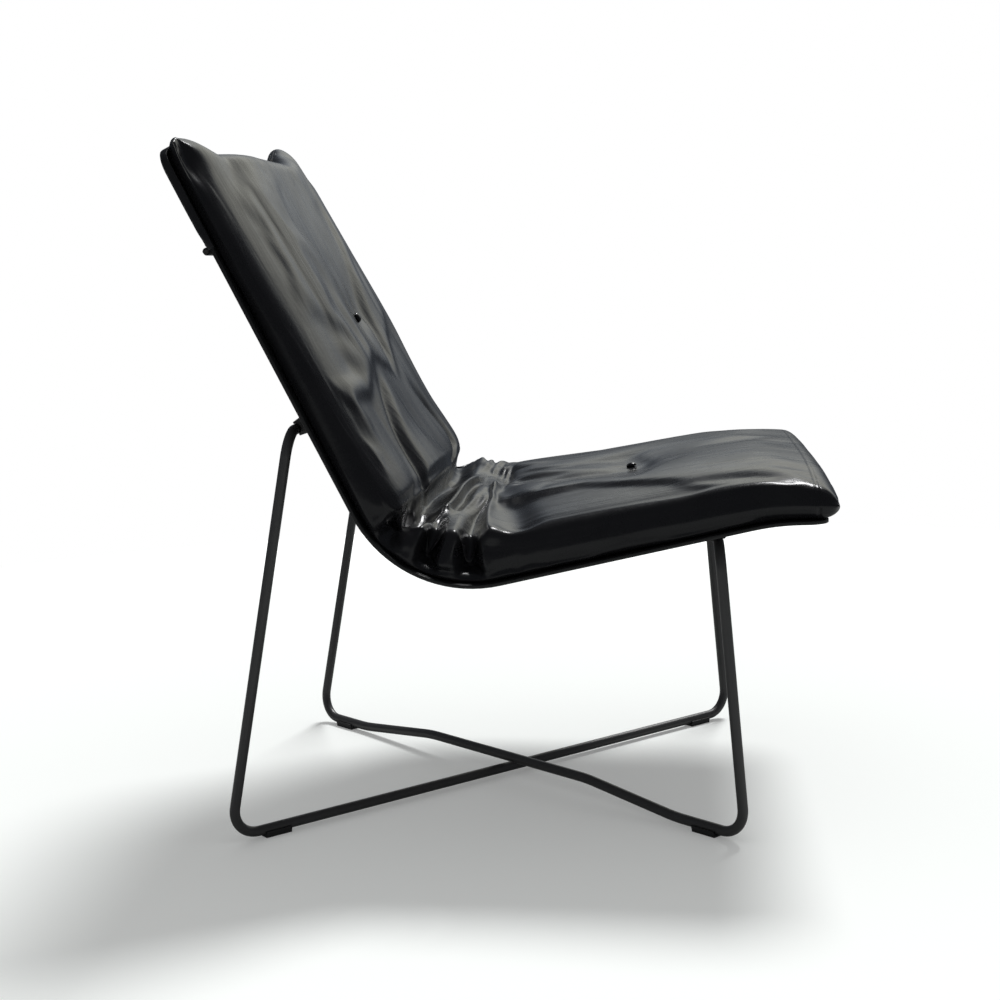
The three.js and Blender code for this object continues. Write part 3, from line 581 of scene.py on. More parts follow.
def leather(name, base, roughness, coordinates, sewn=False):
    """Smooth black hide, drum dyed and lightly finished: the finish gives a satin gloss, fine pores
    roughen it, and where it was bent it shows small creases. Sewn hide also shows the long wrinkles of
    its pull, and is drawn in along its seams."""
    made, tree, shader, where = material(name, coordinates)
    # Pores of the hide are under 1 mm apart. They are drawn 2.4 mm apart so that they show.
    pores = add_node(tree, "ShaderNodeTexVoronoi", {
        "Vector": where, "Scale": 1 / (2.4 * MM), "Randomness": 1.0}, feature="DISTANCE_TO_EDGE")
    cloud = add_node(tree, "ShaderNodeTexNoise", {
        "Vector": where, "Scale": 1 / (55 * MM), "Detail": 5.0, "Roughness": 0.6})
    crease = add_node(tree, "ShaderNodeTexNoise", {
        "Vector": where, "Scale": 1 / (7 * MM), "Detail": 4.0, "Roughness": 0.55, "Distortion": 0.4})
    worn = add_node(tree, "ShaderNodeMapRange", {
        "Value": cloud.outputs["Fac"], "From Min": 0.35, "From Max": 0.68,
        "To Min": roughness - 0.05, "To Max": roughness + 0.07})
    tone = add_node(tree, "ShaderNodeMix", {
        "Factor": cloud.outputs["Fac"], 6: base, 7: toned(base, 1.5)},
        data_type="RGBA")
    grain = add_node(tree, "ShaderNodeBump", {
        "Height": pores.outputs["Distance"], "Strength": 0.16, "Distance": 0.25 * MM})
    bent = add_node(tree, "ShaderNodeBump", {
        "Height": crease.outputs["Fac"], "Strength": 0.32, "Distance": 0.6 * MM,
        "Normal": grain.outputs["Normal"]})
    normal = bent.outputs["Normal"]
    if sewn:
        # The hide is pulled along the pad, so its long wrinkles run that way, some 30 mm apart.
        pulled = add_node(tree, "ShaderNodeMapping", {"Vector": where, "Scale": (1.0, 0.16, 1.0)})
        wrinkle = add_node(tree, "ShaderNodeTexNoise", {
            "Vector": pulled.outputs["Vector"], "Scale": 1 / (30 * MM), "Detail": 3.0, "Distortion": 0.5})
        normal = add_node(tree, "ShaderNodeBump", {
            "Height": wrinkle.outputs["Fac"], "Strength": 0.5, "Distance": 4 * MM,
            "Normal": normal}).outputs["Normal"]
        away = add_node(tree, "ShaderNodeAttribute", attribute_name="seam").outputs["Fac"]
        drawn = add_node(tree, "ShaderNodeMapRange", {
            "Value": away, "From Min": 0.4 * MM, "From Max": 4 * MM, "To Min": 0.0, "To Max": 1.0},
            interpolation_type="SMOOTHSTEP")
        normal = add_node(tree, "ShaderNodeBump", {
            "Height": drawn.outputs["Result"], "Strength": 0.8, "Distance": 1.5 * MM,
            "Normal": normal}).outputs["Normal"]
    tree.links.new(tone.outputs[2], shader.inputs["Base Color"])
    tree.links.new(worn.outputs["Result"], shader.inputs["Roughness"])
    tree.links.new(normal, shader.inputs["Normal"])
    # Pores swallow much of what falls on them straight, so that the hide shines at a slant.
    shader.inputs["IOR"].default_value = 1.5
    shader.inputs["Specular Tint"].default_value = (0.35, 0.35, 0.36, 1)
    shader.inputs["Coat Weight"].default_value = 0.2
    shader.inputs["Coat Roughness"].default_value = 0.15
    return made


def coated_metal(name, base, roughness, peel_mm):
    """Powder coat baked on metal: an even satin black with a faint orange peel and a little dust
    that dulls it in patches."""
    made, tree, shader, where = material(name)
    peel = add_node(tree, "ShaderNodeTexNoise", {
        "Vector": where, "Scale": 1 / (peel_mm * MM), "Detail": 2.0})
    dust = add_node(tree, "ShaderNodeTexNoise", {
        "Vector": where, "Scale": 1 / (70 * MM), "Detail": 6.0, "Roughness": 0.65})
    dull = add_node(tree, "ShaderNodeMapRange", {
        "Value": dust.outputs["Fac"], "From Min": 0.3, "From Max": 0.7,
        "To Min": roughness - 0.04, "To Max": roughness + 0.08})
    tone = add_node(tree, "ShaderNodeMix", {
        "Factor": dust.outputs["Fac"], 6: base, 7: toned(base, 1.35)},
        data_type="RGBA")
    bump = add_node(tree, "ShaderNodeBump", {
        "Height": peel.outputs["Fac"], "Strength": 0.12, "Distance": 0.1 * MM})
    tree.links.new(tone.outputs[2], shader.inputs["Base Color"])
    tree.links.new(dull.outputs["Result"], shader.inputs["Roughness"])
    tree.links.new(bump.outputs["Normal"], shader.inputs["Normal"])
    return made


def black_oxide():
    """Steel screws with a black oxide skin: dark bare metal, oily and slightly uneven."""
    made, tree, shader, where = material("Black oxide steel")
    mottle = add_node(tree, "ShaderNodeTexNoise", {"Vector": where, "Scale": 1 / (2 * MM), "Detail": 3.0})
    uneven = add_node(tree, "ShaderNodeMapRange", {
        "Value": mottle.outputs["Fac"], "To Min": 0.3, "To Max": 0.5})
    tree.links.new(uneven.outputs["Result"], shader.inputs["Roughness"])
    shader.inputs["Base Color"].default_value = finish_colour("oxide")
    shader.inputs["Metallic"].default_value = 1.0
    return made


def moulded_nylon():
    """Injection moulded nylon: matt black with the fine spark-eroded texture of its mould."""
    made, tree, shader, where = material("Moulded nylon")
    spark = add_node(tree, "ShaderNodeTexNoise", {"Vector": where, "Scale": 1 / (0.6 * MM), "Detail": 2.0})
    rough = add_node(tree, "ShaderNodeMapRange", {
        "Value": spark.outputs["Fac"], "To Min": 0.5, "To Max": 0.7})
    bump = add_node(tree, "ShaderNodeBump", {
        "Height": spark.outputs["Fac"], "Strength": 0.3, "Distance": 0.05 * MM})
    tree.links.new(rough.outputs["Result"], shader.inputs["Roughness"])
    tree.links.new(bump.outputs["Normal"], shader.inputs["Normal"])
    shader.inputs["Base Color"].default_value = finish_colour("nylon")
    return made


def waxed_thread():
    """Twisted and waxed polyester: a dull black with the bright and dark of its plies."""
    made, tree, shader, where = material("Waxed thread")
    twist = add_node(tree, "ShaderNodeTexWave", {
        "Vector": where, "Scale": 1 / (24 * MM), "Distortion": 1.0}, bands_direction="DIAGONAL")
    tone = add_node(tree, "ShaderNodeMix", {
        "Factor": twist.outputs["Fac"], 6: finish_colour("thread"),
        7: toned(finish_colour("thread"), 2)}, data_type="RGBA")
    bump = add_node(tree, "ShaderNodeBump", {
        "Height": twist.outputs["Fac"], "Strength": 0.4, "Distance": 0.1 * MM})
    tree.links.new(tone.outputs[2], shader.inputs["Base Color"])
    tree.links.new(bump.outputs["Normal"], shader.inputs["Normal"])
    shader.inputs["Roughness"].default_value = 0.7
    return made


# Base


def rod_route(side, arched):
    """Corners of a rod from the rear cross bar's middle, each with its bend radius, in millimetres."""
    base = sizes("chair_base")
    profile = Profile()
    leg = side * (profile.half - base["leg_inset"])
    rear = profile.place(0, rear_bar_at(profile), -profile.thickness - base["rear_standoff"])[0]
    front = profile.place(0, front_bar_at(profile), -profile.thickness - base["front_standoff"])[0]
    centre = profile.shift + base["fold_ahead"]
    rear_foot = np.array([leg, centre + base["foot_spread"] / 2, base["rod_height"]])
    front_foot = np.array([-leg, centre - base["foot_spread"] / 2, base["rod_height"]])
    along = (front_foot - rear_foot) / np.linalg.norm(front_foot - rear_foot)
    lift = np.array([0, 0, base["arch_lift"]])
    arch = [
        (rear_foot + along * base["arch_start"], base["arch_bend"]),
        (rear_foot + along * base["arch_top"] + lift, base["arch_bend"]),
        (front_foot - along * base["arch_top"] + lift, base["arch_bend"]),
        (front_foot - along * base["arch_start"], base["arch_bend"]),
    ]
    on = lambda bar, x: np.array([x, bar[1], bar[2]])
    return [
        (on(rear, math.copysign(WELD_GAP / 2, side)), 0),
        (on(rear, leg), base["top_bend"]),
        (rear_foot, base["foot_bend"]),
        *(arch if arched else []),
        (front_foot, base["foot_bend"]),
        (on(front, -leg), base["top_bend"]),
        (on(front, math.copysign(WELD_GAP / 2, -side)), 0),
    ]


def rear_bar_at(profile):
    return profile.fold_start - sizes("chair_base")["rear_bar"]


def front_bar_at(profile):
    return profile.fold_end + sizes("chair_base")["front_bar"]


def bracket_reach(profile):
    """Middle of the chair to the middle of a bracket."""
    return profile.half - sizes("chair_base")["leg_inset"] - BRACKET_INSET - BRACKET_LENGTH / 2


def bent_rod(name, corners, radius):
    """Extrudes a disc along the straight runs and spins it round the bends."""
    places = [Vector(at) * MM for at, _ in corners]
    first = (places[1] - places[0]).normalized()
    deselect()
    bpy.ops.mesh.primitive_circle_add(
        vertices=ROD_SIDES, radius=radius * MM, fill_type="NGON", location=places[0],
        rotation=first.to_track_quat("Z", "Y").to_euler())
    piece = started(name)
    mode("EDIT")
    select("SELECT")
    now = places[0]
    for i in range(1, len(places) - 1):
        arrive = (places[i] - places[i - 1]).normalized()
        leave = (places[i + 1] - places[i]).normalized()
        turn = arrive.angle(leave)
        bend = corners[i][1] * MM
        start = places[i] - arrive * bend * math.tan(turn / 2)
        extrude(start - now)
        axis = arrive.cross(leave).normalized()
        centre = start + axis.cross(arrive) * bend
        steps = max(4, math.ceil(turn / ROD_FACET))
        # Spin turns clockwise about its axis.
        bpy.ops.mesh.spin(steps=steps, angle=turn, center=centre, axis=-axis)
        now = places[i] + leave * bend * math.tan(turn / 2)
    extrude(places[-1] - now)
    mode("OBJECT")
    closed(piece)
    return piece


def saddle(name, foot, length, rod_height):
    """A block tapered up to a rod, with the rod's channel cut in it and its edges broken."""
    base = sizes("chair_base")
    edge = rod_height - SADDLE_EDGE
    deselect()
    bpy.ops.mesh.primitive_cube_add(
        size=1, location=(0, 0, SADDLE_SOLE * MM / 2),
        scale=(length * MM, foot * MM, SADDLE_SOLE * MM))
    piece = started(name)
    mode("EDIT")
    pick(piece, "faces", lambda p: p.z > SADDLE_SOLE * MM * 0.9)
    extrude((0, 0, (edge - SADDLE_SOLE) * MM))
    bpy.ops.transform.resize(value=(1, SADDLE_WIDTH / foot, 1))
    mode("OBJECT")
    outward(piece)
    deselect()
    bpy.ops.mesh.primitive_cylinder_add(
        vertices=ROD_SIDES * 2, radius=(base["rod"] / 2 + SEAT_GAP) * MM, depth=2 * length * MM,
        location=(0, 0, rod_height * MM), rotation=(0, math.pi / 2, 0))
    channel = started("channel")
    apply_modifier(piece, "BOOLEAN", operation="DIFFERENCE", object=channel, solver="EXACT")
    bpy.data.objects.remove(channel)
    break_edges(piece, SADDLE_BREAK)
    closed(piece)
    return piece


class CHAIR_OT_rods(bpy.types.Operator):
    """The two bent rods, and the weld beads where their halves of the cross bars meet"""

    bl_idname = "chair.rods"
    bl_label = "Rods"

    def execute(self, context):
        coat = coated_metal("Powder-coated steel rod", finish_colour("rod"), ROD_SHEEN, ROD_PEEL)
        radius = sizes("chair_base")["rod"] / 2
        routes = {"lower": rod_route(-1, False), "upper": rod_route(1, True)}
        for name, route in routes.items():
            rod = bent_rod(f"{name}_rod", route, radius)
            dressed(rod, coat, "frame", "rod", f"base_rod_{name}")
        for row, at in (("rear", routes["lower"][0][0]), ("front", routes["lower"][-1][0])):
            deselect()
            bpy.ops.mesh.primitive_torus_add(
                major_radius=radius * MM, minor_radius=WELD_BEAD * MM, major_segments=48, minor_segments=10,
                location=(0, at[1] * MM, at[2] * MM), rotation=(0, math.pi / 2, 0))
            bead = started(f"{row}_bar_weld")
            ripple = np.array([v.co for v in bead.data.vertices])
            turn = np.arctan2(ripple[:, 1] - at[1] * MM, ripple[:, 2] - at[2] * MM)
            ripple[:, 0] *= 1 + WELD_RIPPLE * np.sin(WELD_RIPPLES * turn)
            bead.data.vertices.foreach_set("co", ripple.ravel())
            smooth(bead, 60)
            dressed(bead, coat, "frame", "rod")
        return {"FINISHED"}


class CHAIR_OT_saddles(bpy.types.Operator):
    """The brackets under the shell, the floor glides, and the finish of the bracket screws"""

    bl_idname = "chair.saddles"
    bl_label = "Brackets and glides"

    def execute(self, context):
        base = sizes("chair_base")
        profile = Profile()
        coat = coated_metal("Powder-coated steel bracket", finish_colour("rod"), BRACKET_SHEEN, ROD_PEEL)
        nylon = moulded_nylon()
        oxide = black_oxide()
        rows = {
            "rear": (rear_bar_at(profile), base["rear_standoff"]),
            "front": (front_bar_at(profile), base["front_standoff"]),
        }
        reach = bracket_reach(profile)
        for row, (s, standoff) in rows.items():
            model = saddle(f"{row}_bracket", BRACKET_FOOT, BRACKET_LENGTH, standoff - SEAT_GAP)
            foot = profile.square(s, -profile.thickness - SEAT_GAP, -1)
            for side, x in (("left", reach), ("right", -reach)):
                put = foot @ Matrix.Translation((x * MM, 0, 0))
                bracket = copied(model, f"{row}_{side}_bracket", put)
                dressed(bracket, coat, "frame", "rod", f"bracket_{row}_{side}")
                for i in (1, 2):
                    finished(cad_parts[f"bracket_screw_{row}_{side}_{i}"], oxide)
            bpy.data.objects.remove(model)
        model = saddle("glide", GLIDE_FOOT, GLIDE_LENGTH, base["rod_height"])
        for row, side in ((r, s) for r in ("rear", "front") for s in ("left", "right")):
            low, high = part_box(f"glide_{row}_{side}")
            middle = (low + high) / 2
            leans = 1 if (row == "rear") == (side == "left") else -1
            turn = math.atan2(base["foot_spread"], leans * 2 * (profile.half - base["leg_inset"]))
            put = Matrix.Translation((middle.x, middle.y, low.z)) @ Matrix.Rotation(turn, 4, "Z")
            glide = copied(model, f"{row}_{side}_glide", put)
            dressed(glide, nylon, "frame", "glide", f"glide_{row}_{side}")
        bpy.data.objects.remove(model)
        return {"FINISHED"}


# Shell


class CHAIR_OT_shell(bpy.types.Operator):
    """The bent sheet: a plane spun round the fold and the lip, thickened and countersunk for its screws"""

    bl_idname = "chair.shell"
    bl_label = "Shell"

    def execute(self, context):
        profile = Profile()
        shell = sizes("chair_shell")
        top = profile.square(0, 0)
        middle = top @ Matrix.Translation((0, -shell["back"] * MM / 2, 0))
        piece = plane("bent_shell", middle, shell["width"], shell["back"])
        mode("EDIT")
        end = profile.point(0, profile.fold_start, 0)
        pick(piece, "edges", lambda p: (p.yz - end.yz).length < CLOSE)
        for begin, length, turn, *_ in profile.stretches[1:]:
            start, stop = profile.point(0, begin, 0), profile.point(0, begin + length, 0)
            if turn == 0:
                extrude(stop - start)
                continue
            centre = profile.point(0, begin, length / turn)
            # The pad side lies left of the way forwards, so a bend towards it turns about -X.
            steps = max(6, math.ceil(abs(turn) / ROD_FACET))
            axis = (math.copysign(1, turn), 0, 0)
            bpy.ops.mesh.spin(steps=steps, angle=abs(turn), center=centre, axis=axis)
        corners = [
            profile.point(side * profile.half, s, 0) for side in (-1, 1) for s in (0, profile.length)]
        pick(piece, "verts", lambda p: any((p - c).length < CLOSE for c in corners))
        round_corners(shell["corner"], 8)
        mode("OBJECT")
        outward(piece)
        up = piece.data.polygons[0].normal
        facing = 1 if up.z > 0 else -1
        apply_modifier(
            piece, "SOLIDIFY", thickness=shell["thickness"] * MM, offset=-facing, use_even_offset=True)
        break_edges(piece, SHELL_BREAK, segments=3)
        self.drill(piece, profile)
        closed(piece)
        coat = coated_metal(
            "Powder-coated aluminium sheet", finish_colour("shell"), SHELL_SHEEN, SHELL_PEEL)
        dressed(piece, coat, "frame", "shell", "seat_shell")
        return {"FINISHED"}

    @staticmethod
    def drill(piece, profile):
        """Countersunk holes for the bracket screws."""
        head, shank = SCREW_HEAD / 2 + SEAT_GAP, SCREW_DIAMETER / 2 + SEAT_GAP
        reach = bracket_reach(profile)
        deselect()
        bpy.ops.mesh.primitive_circle_add(
            vertices=24, radius=head * MM, fill_type="NGON", location=(0, 0, DRILL_ABOVE * MM))
        cutter = started("countersink")
        mode("EDIT")
        select("SELECT")
        extrude((0, 0, -DRILL_ABOVE * MM))
        extrude((0, 0, (shank - head) * MM))
        bpy.ops.transform.resize(value=(shank / head, shank / head, 1))
        extrude((0, 0, -DRILL_DEEP * MM))
        mode("OBJECT")
        outward(cutter)
        holes = []
        for s in (rear_bar_at(profile), front_bar_at(profile)):
            for x in (-reach, reach):
                for offset in (-SCREW_SPACING / 2, SCREW_SPACING / 2):
                    put = profile.square(s, 0) @ Matrix.Translation(((x + offset) * MM, 0, 0))
                    holes.append(copied(cutter, "hole", put))
        bpy.data.objects.remove(cutter)
        holes = joined(holes, "holes")
        apply_modifier(piece, "BOOLEAN", operation="DIFFERENCE", object=holes, solver="EXACT")
        bpy.data.objects.remove(holes)


# Pad


class PadForm:
    """The pad's skin as a grid of rows along the shell and columns round the pad, in millimetres."""

    def __init__(self):
        self.profile = Profile()
        self.pad = sizes("chair_pad")
        self.end = self.profile.length + self.pad["front_over"]
        self.half = self.profile.half - self.pad["inset"]
        self.tufts = {
            "back": self.profile.fold_start - self.pad["back_tuft"],
            "seat": self.profile.fold_end + self.pad["seat_tuft"],
        }

    def from_fold(self, s):
        """Distance from the fold's middle, as a share of the way to that end of the pad."""
        middle = self.profile.fold_middle
        return np.abs(s - middle) / np.where(s < middle, middle, self.end - middle)

    def half_at(self, s):
        return self.half - PAD_WAIST * np.sin(np.pi * self.from_fold(s)) ** 2

    def shoulder(self, s):
        low, high = self.pad["edge_end"], self.pad["edge_fold"]
        return low + (high - low) * np.cos(np.pi / 2 * self.from_fold(s))

    def tuft(self, s, x):
        shares = [np.exp(-((s - at) / TUFT_LONG) ** 2 - (x / TUFT_WIDE) ** 2) for at in self.tufts.values()]
        return np.maximum(*shares)

    def ear(self, s, u):
        """How far the top edge stands above its plain place: ears at its corners, over a sagging middle."""
        fade = np.clip(1 - s / EAR_REACH, 0, None) ** 2
        left, right = (np.clip((np.abs(u) - a) / (b - a), 0, 1) for a, b in EAR_SPANS)
        share = np.where(u > 0, left, right)
        high = np.where(u > 0, self.pad["left_ear"], self.pad["right_ear"])
        cut = CORNER_DROP * np.clip((np.abs(u) - CORNER_FROM) / (1 - CORNER_FROM), 0, None) ** 2
        return ((high + TOP_SAG) * eased(share) - TOP_SAG - cut) * fade

    def top_edge(self, x):
        """The same for one x at the very top."""
        return float(self.ear(np.zeros(1), np.array([x / self.half]))[0])

    def rows(self):
        """Places along the pad, and the share of its thickness at each."""
        reach = self.pad["end_round"]
        turns = np.linspace(math.asin(MOUTH_SHARE), math.pi / 2, END_ROWS)
        ends = reach * (1 - np.cos(turns))
        ruler = np.linspace(reach, self.end - reach, RULER_STEPS)
        fine = np.exp(-((ruler - FOLD_EDGE_AT) / FOLD_STEP_REACH) ** 4)
        crowd = 1 / PAD_STEP + (1 / FOLD_STEP - 1 / PAD_STEP) * fine
        passed = np.concatenate([[0], np.cumsum((crowd[1:] + crowd[:-1]) / 2 * np.diff(ruler))])
        middle = np.interp(np.linspace(0, passed[-1], round(passed[-1]) + 1), passed, ruler)[1:-1]
        s = np.concatenate([ends, middle, self.end - ends[::-1]])
        share = np.concatenate([np.sin(turns), np.ones(len(middle)), np.sin(turns)[::-1]])
        return s[:, None], share[:, None]

    @staticmethod
    def columns():
        """Places across the face and the upper sides, from seam to seam."""
        even = np.linspace(-1, 1, PAD_COLUMNS + 1)[None, :]
        return even * (1 + PAD_CROWDING * (1 - even ** 2))

    def upper(self, s, t):
        """Face and upper sides, from the left seam at t -1 to the right one at 1: x, depth and unrolled x."""
        half, shoulder = self.half_at(s), self.shoulder(s)
        roll = self.rolled(s)
        tight = np.exp(-((s - FOLD_EDGE_AT) / FOLD_EDGE_REACH) ** 4)
        edge = SEAT_EDGE + (FOLD_EDGE - SEAT_EDGE) * tight
        wide = edge + (BACK_ROLL - edge) * roll
        tall = edge + (BACK_EDGE - edge) * roll
        flat, arc = half - wide, (wide + tall) / 2 * math.pi / 2
        side = (1 - SEAM_SHARE) * shoulder - tall
        unrolled = t * (flat + arc + side)
        away = np.abs(unrolled)
        turn = np.clip((away - flat) / arc, 0, 1) * math.pi / 2
        down = np.clip(away - flat - arc, 0, None)
        x = np.minimum(away, flat) + wide * np.sin(turn) + SIDE_BULGE * np.sin(np.pi / 2 * down / side)
        crown = self.pad["crown"] * np.clip(1 - (away / flat) ** CROWN_POWER, 0, None)
        depth = shoulder + crown - tall * (1 - np.cos(turn)) - down
        return np.sign(t) * x, depth, unrolled

    def rolled(self, s):
        """How far the edges are soft rolls, as on the back, and not boxed, as on the seat."""
        return eased(np.clip((ROLL_END - s) / (ROLL_END - ROLL_START), 0, 1))

    def lower(self, s, t):
        """Underside and lower sides, from seam to seam: x, depth and the way down from the seam."""
        half, seam = self.half_at(s), SEAM_SHARE * self.shoulder(s)
        side = seam - SOLE_ROUND - SOLE_GAP
        flat, arc = half - SOLE_ROUND, SOLE_ROUND * math.pi / 2
        unrolled = np.abs(t) * (flat + arc + side)
        turn = np.clip((unrolled - flat) / SOLE_ROUND, 0, math.pi / 2)
        up = np.clip(unrolled - flat - arc, 0, None)
        bulge = SIDE_BULGE * np.sin(np.pi / 2 * up / side)
        x = np.minimum(unrolled, flat) + SOLE_ROUND * np.sin(turn) + bulge
        depth = SOLE_GAP + SOLE_ROUND * (1 - np.cos(turn)) + up
        return np.sign(t) * x, depth, (1 - np.abs(t)) * (flat + arc + side)

    def mesh(self, flat=False):
        """Points of all rows, each row running over the face and back under the pad, the place of each
        point on the hide and its distance from the front seam. Only the points, if cut flat."""
        s, share = self.rows()
        t = self.columns()
        x, depth, unrolled = self.upper(s, t)
        back = t[:, 1:-1][:, ::-1]
        x_low, depth_low, down = self.lower(s, back)
        clear = np.clip((depth_low - SOLE_GAP) / SOLE_ROUND, 0, 1)
        depth_low = depth_low + TUFT_LIFT * self.tuft(s, x_low)
        across = np.concatenate([unrolled, np.sign(back) * (unrolled[:, -1:] + down)], axis=1)
        seam = SEAM_SHARE * self.shoulder(s)
        narrow = 1 - END_NARROW / self.half * (1 - share)
        ring_x = np.concatenate([x, x_low], axis=1) * narrow
        ring_depth = seam + (np.concatenate([depth, depth_low], axis=1) - seam) * share
        ring_s = s - self.ear(s, ring_x / self.half)
        hide = np.stack([across, s + 0 * across], axis=2)
        if flat:
            spare = CUT_SPARE * np.cumsum(np.gradient(s[:, 0]) * np.exp(
                -((s[:, 0] - self.profile.fold_middle) / CUT_REACH) ** 4))
            return np.stack([ring_x, spare[:, None] - ring_s, ring_depth], axis=2)
        points = self.profile.place(ring_x.ravel(), ring_s.ravel(), ring_depth.ravel())
        points = points.reshape(*ring_x.shape, 3)
        ahead = np.gradient(points, axis=0)
        round_pad = np.roll(points, -1, axis=1) - np.roll(points, 1, axis=1)
        out = np.cross(ahead, round_pad)
        out /= np.linalg.norm(out, axis=2, keepdims=True)
        relief = self.creases(hide[:, :, 1], across)
        relief[:, :PAD_COLUMNS + 1] -= self.pad["tuft_sink"] * self.tuft(s, x)
        relief[:, PAD_COLUMNS + 1:] *= clear
        relief *= share ** 2
        seam = np.abs(s - self.end + self.pad["end_round"]) + 0 * across
        return points + out * relief[:, :, None], hide, seam

    def held(self):
        """Points of the underside stay where they are, and so do those under the buttons."""
        s, _ = self.rows()
        t = self.columns()
        x, _, _ = self.upper(s, t)
        x_low, depth_low, _ = self.lower(s, t[:, 1:-1][:, ::-1])
        drawn = [np.hypot(s - at, x) < BUTTON_HOLD for at in self.tufts.values()]
        face = np.where(np.logical_or(*drawn), 1.0, 0.0)
        under = np.where(depth_low < SOLE_GAP + 1, 1.0, 0.0) + 0 * x_low
        return np.concatenate([face, under], axis=1).ravel()

    def button_seat(self, s):
        """Depth of the skin under a button."""
        plain = self.shoulder(s) + self.pad["crown"] - self.pad["tuft_sink"]
        return float(plain + self.creases(np.array([s]), np.zeros(1))[0])

    def caps(self):
        """The most that the filling may move each point."""
        s, _ = self.rows()
        near = np.exp(-((s - self.profile.fold_middle) / CAP_REACH) ** 4)
        return np.repeat(PLAIN_CAP + (CLOTH_CAP - PLAIN_CAP) * near, 2 * PAD_COLUMNS, axis=1).ravel()

    def creases(self, s, q):
        """Height of the folds, gathers and wrinkles over the pad's plain form."""
        height = np.zeros_like(s)
        height += LOBE_HEIGHT * np.exp(-((s - LOBE_AT) / LOBE_REACH) ** 2)
        dish = np.exp(-(q / BACK_DISH_WIDE) ** 2) * np.exp(-((s - BACK_DISH_AT) / BACK_DISH_REACH) ** 4)
        height -= BACK_DISH * dish
        for rise, width, run_out, line in FOLDS:
            power = RIM_POWER if rise < RIM_FROM else 2
            height += rise * stroke(s, q, line, width, run_out, power)
        return height


def eased(share):
    """The share from 0 to 1 with a smooth start and end."""
    return share * share * (3 - 2 * share)


def stroke(s, q, line, width, run_out, power):
    """How near each place lies to a smooth line over the pad: 1 on it, fading to 0 beside it."""
    line = np.asarray(line, float)
    ends = np.vstack([2 * line[0] - line[1], line, 2 * line[-1] - line[-2]])
    steps = np.linspace(0, 1, STROKE_STEPS, endpoint=False)[:, None]
    drawn = []
    for a, b, c, d in zip(ends, ends[1:], ends[2:], ends[3:]):
        drawn.append(0.5 * (
            2 * b + (c - a) * steps + (2 * a - 5 * b + 4 * c - d) * steps ** 2
            + (3 * b - a - 3 * c + d) * steps ** 3))
    drawn = np.vstack([*drawn, line[-1:]])
    nearest = np.full(s.shape, np.inf)
    share = np.zeros(s.shape)
    for i, (a, b) in enumerate(zip(drawn, drawn[1:])):
        step = b - a
        along = np.clip(((s - a[0]) * step[0] + (q - a[1]) * step[1]) / (step @ step), 0, 1)
        gap = (s - a[0] - along * step[0]) ** 2 + (q - a[1] - along * step[1]) ** 2
        closer = gap < nearest
        nearest = np.where(closer, gap, nearest)
        share = np.where(closer, (i + along) / (len(drawn) - 1), share)
    fade = np.clip(np.minimum(share / STROKE_START, (1 - share) / run_out), 0, 1)
    return np.exp(-(np.sqrt(nearest) / width) ** power) * eased(fade)


def pad_mesh(name, points, hide, seam):
    """A closed mesh over the rows, with each point's place on the hide as its UV map, and its distance
    from the seam as an attribute."""
    rows, columns = points.shape[:2]
    faces = []
    for r in range(rows - 1):
        for k in range(columns):
            j = (k + 1) % columns
            faces.append((r * columns + k, r * columns + j, (r + 1) * columns + j, (r + 1) * columns + k))
    for r in (0, rows - 1):
        for k in range(columns // 2):
            ring = [k, k + 1, columns - k - 1, (columns - k) % columns]
            faces.append(tuple(r * columns + c for c in dict.fromkeys(ring)))
    mesh = bpy.data.meshes.new(name)
    mesh.from_pydata((points.reshape(-1, 3) * MM).tolist(), [], faces)
    loops = np.zeros(len(mesh.loops), int)
    mesh.loops.foreach_get("vertex_index", loops)
    layer = mesh.uv_layers.new(name="hide")
    layer.data.foreach_set("uv", (hide.reshape(-1, 2)[loops] * MM).ravel())
    sewn = mesh.attributes.new("seam", "FLOAT", "POINT")
    sewn.data.foreach_set("value", (seam * MM).ravel())
    piece = bpy.data.objects.new(name, mesh)
    bpy.context.scene.collection.objects.link(piece)
    outward(piece)
    return piece


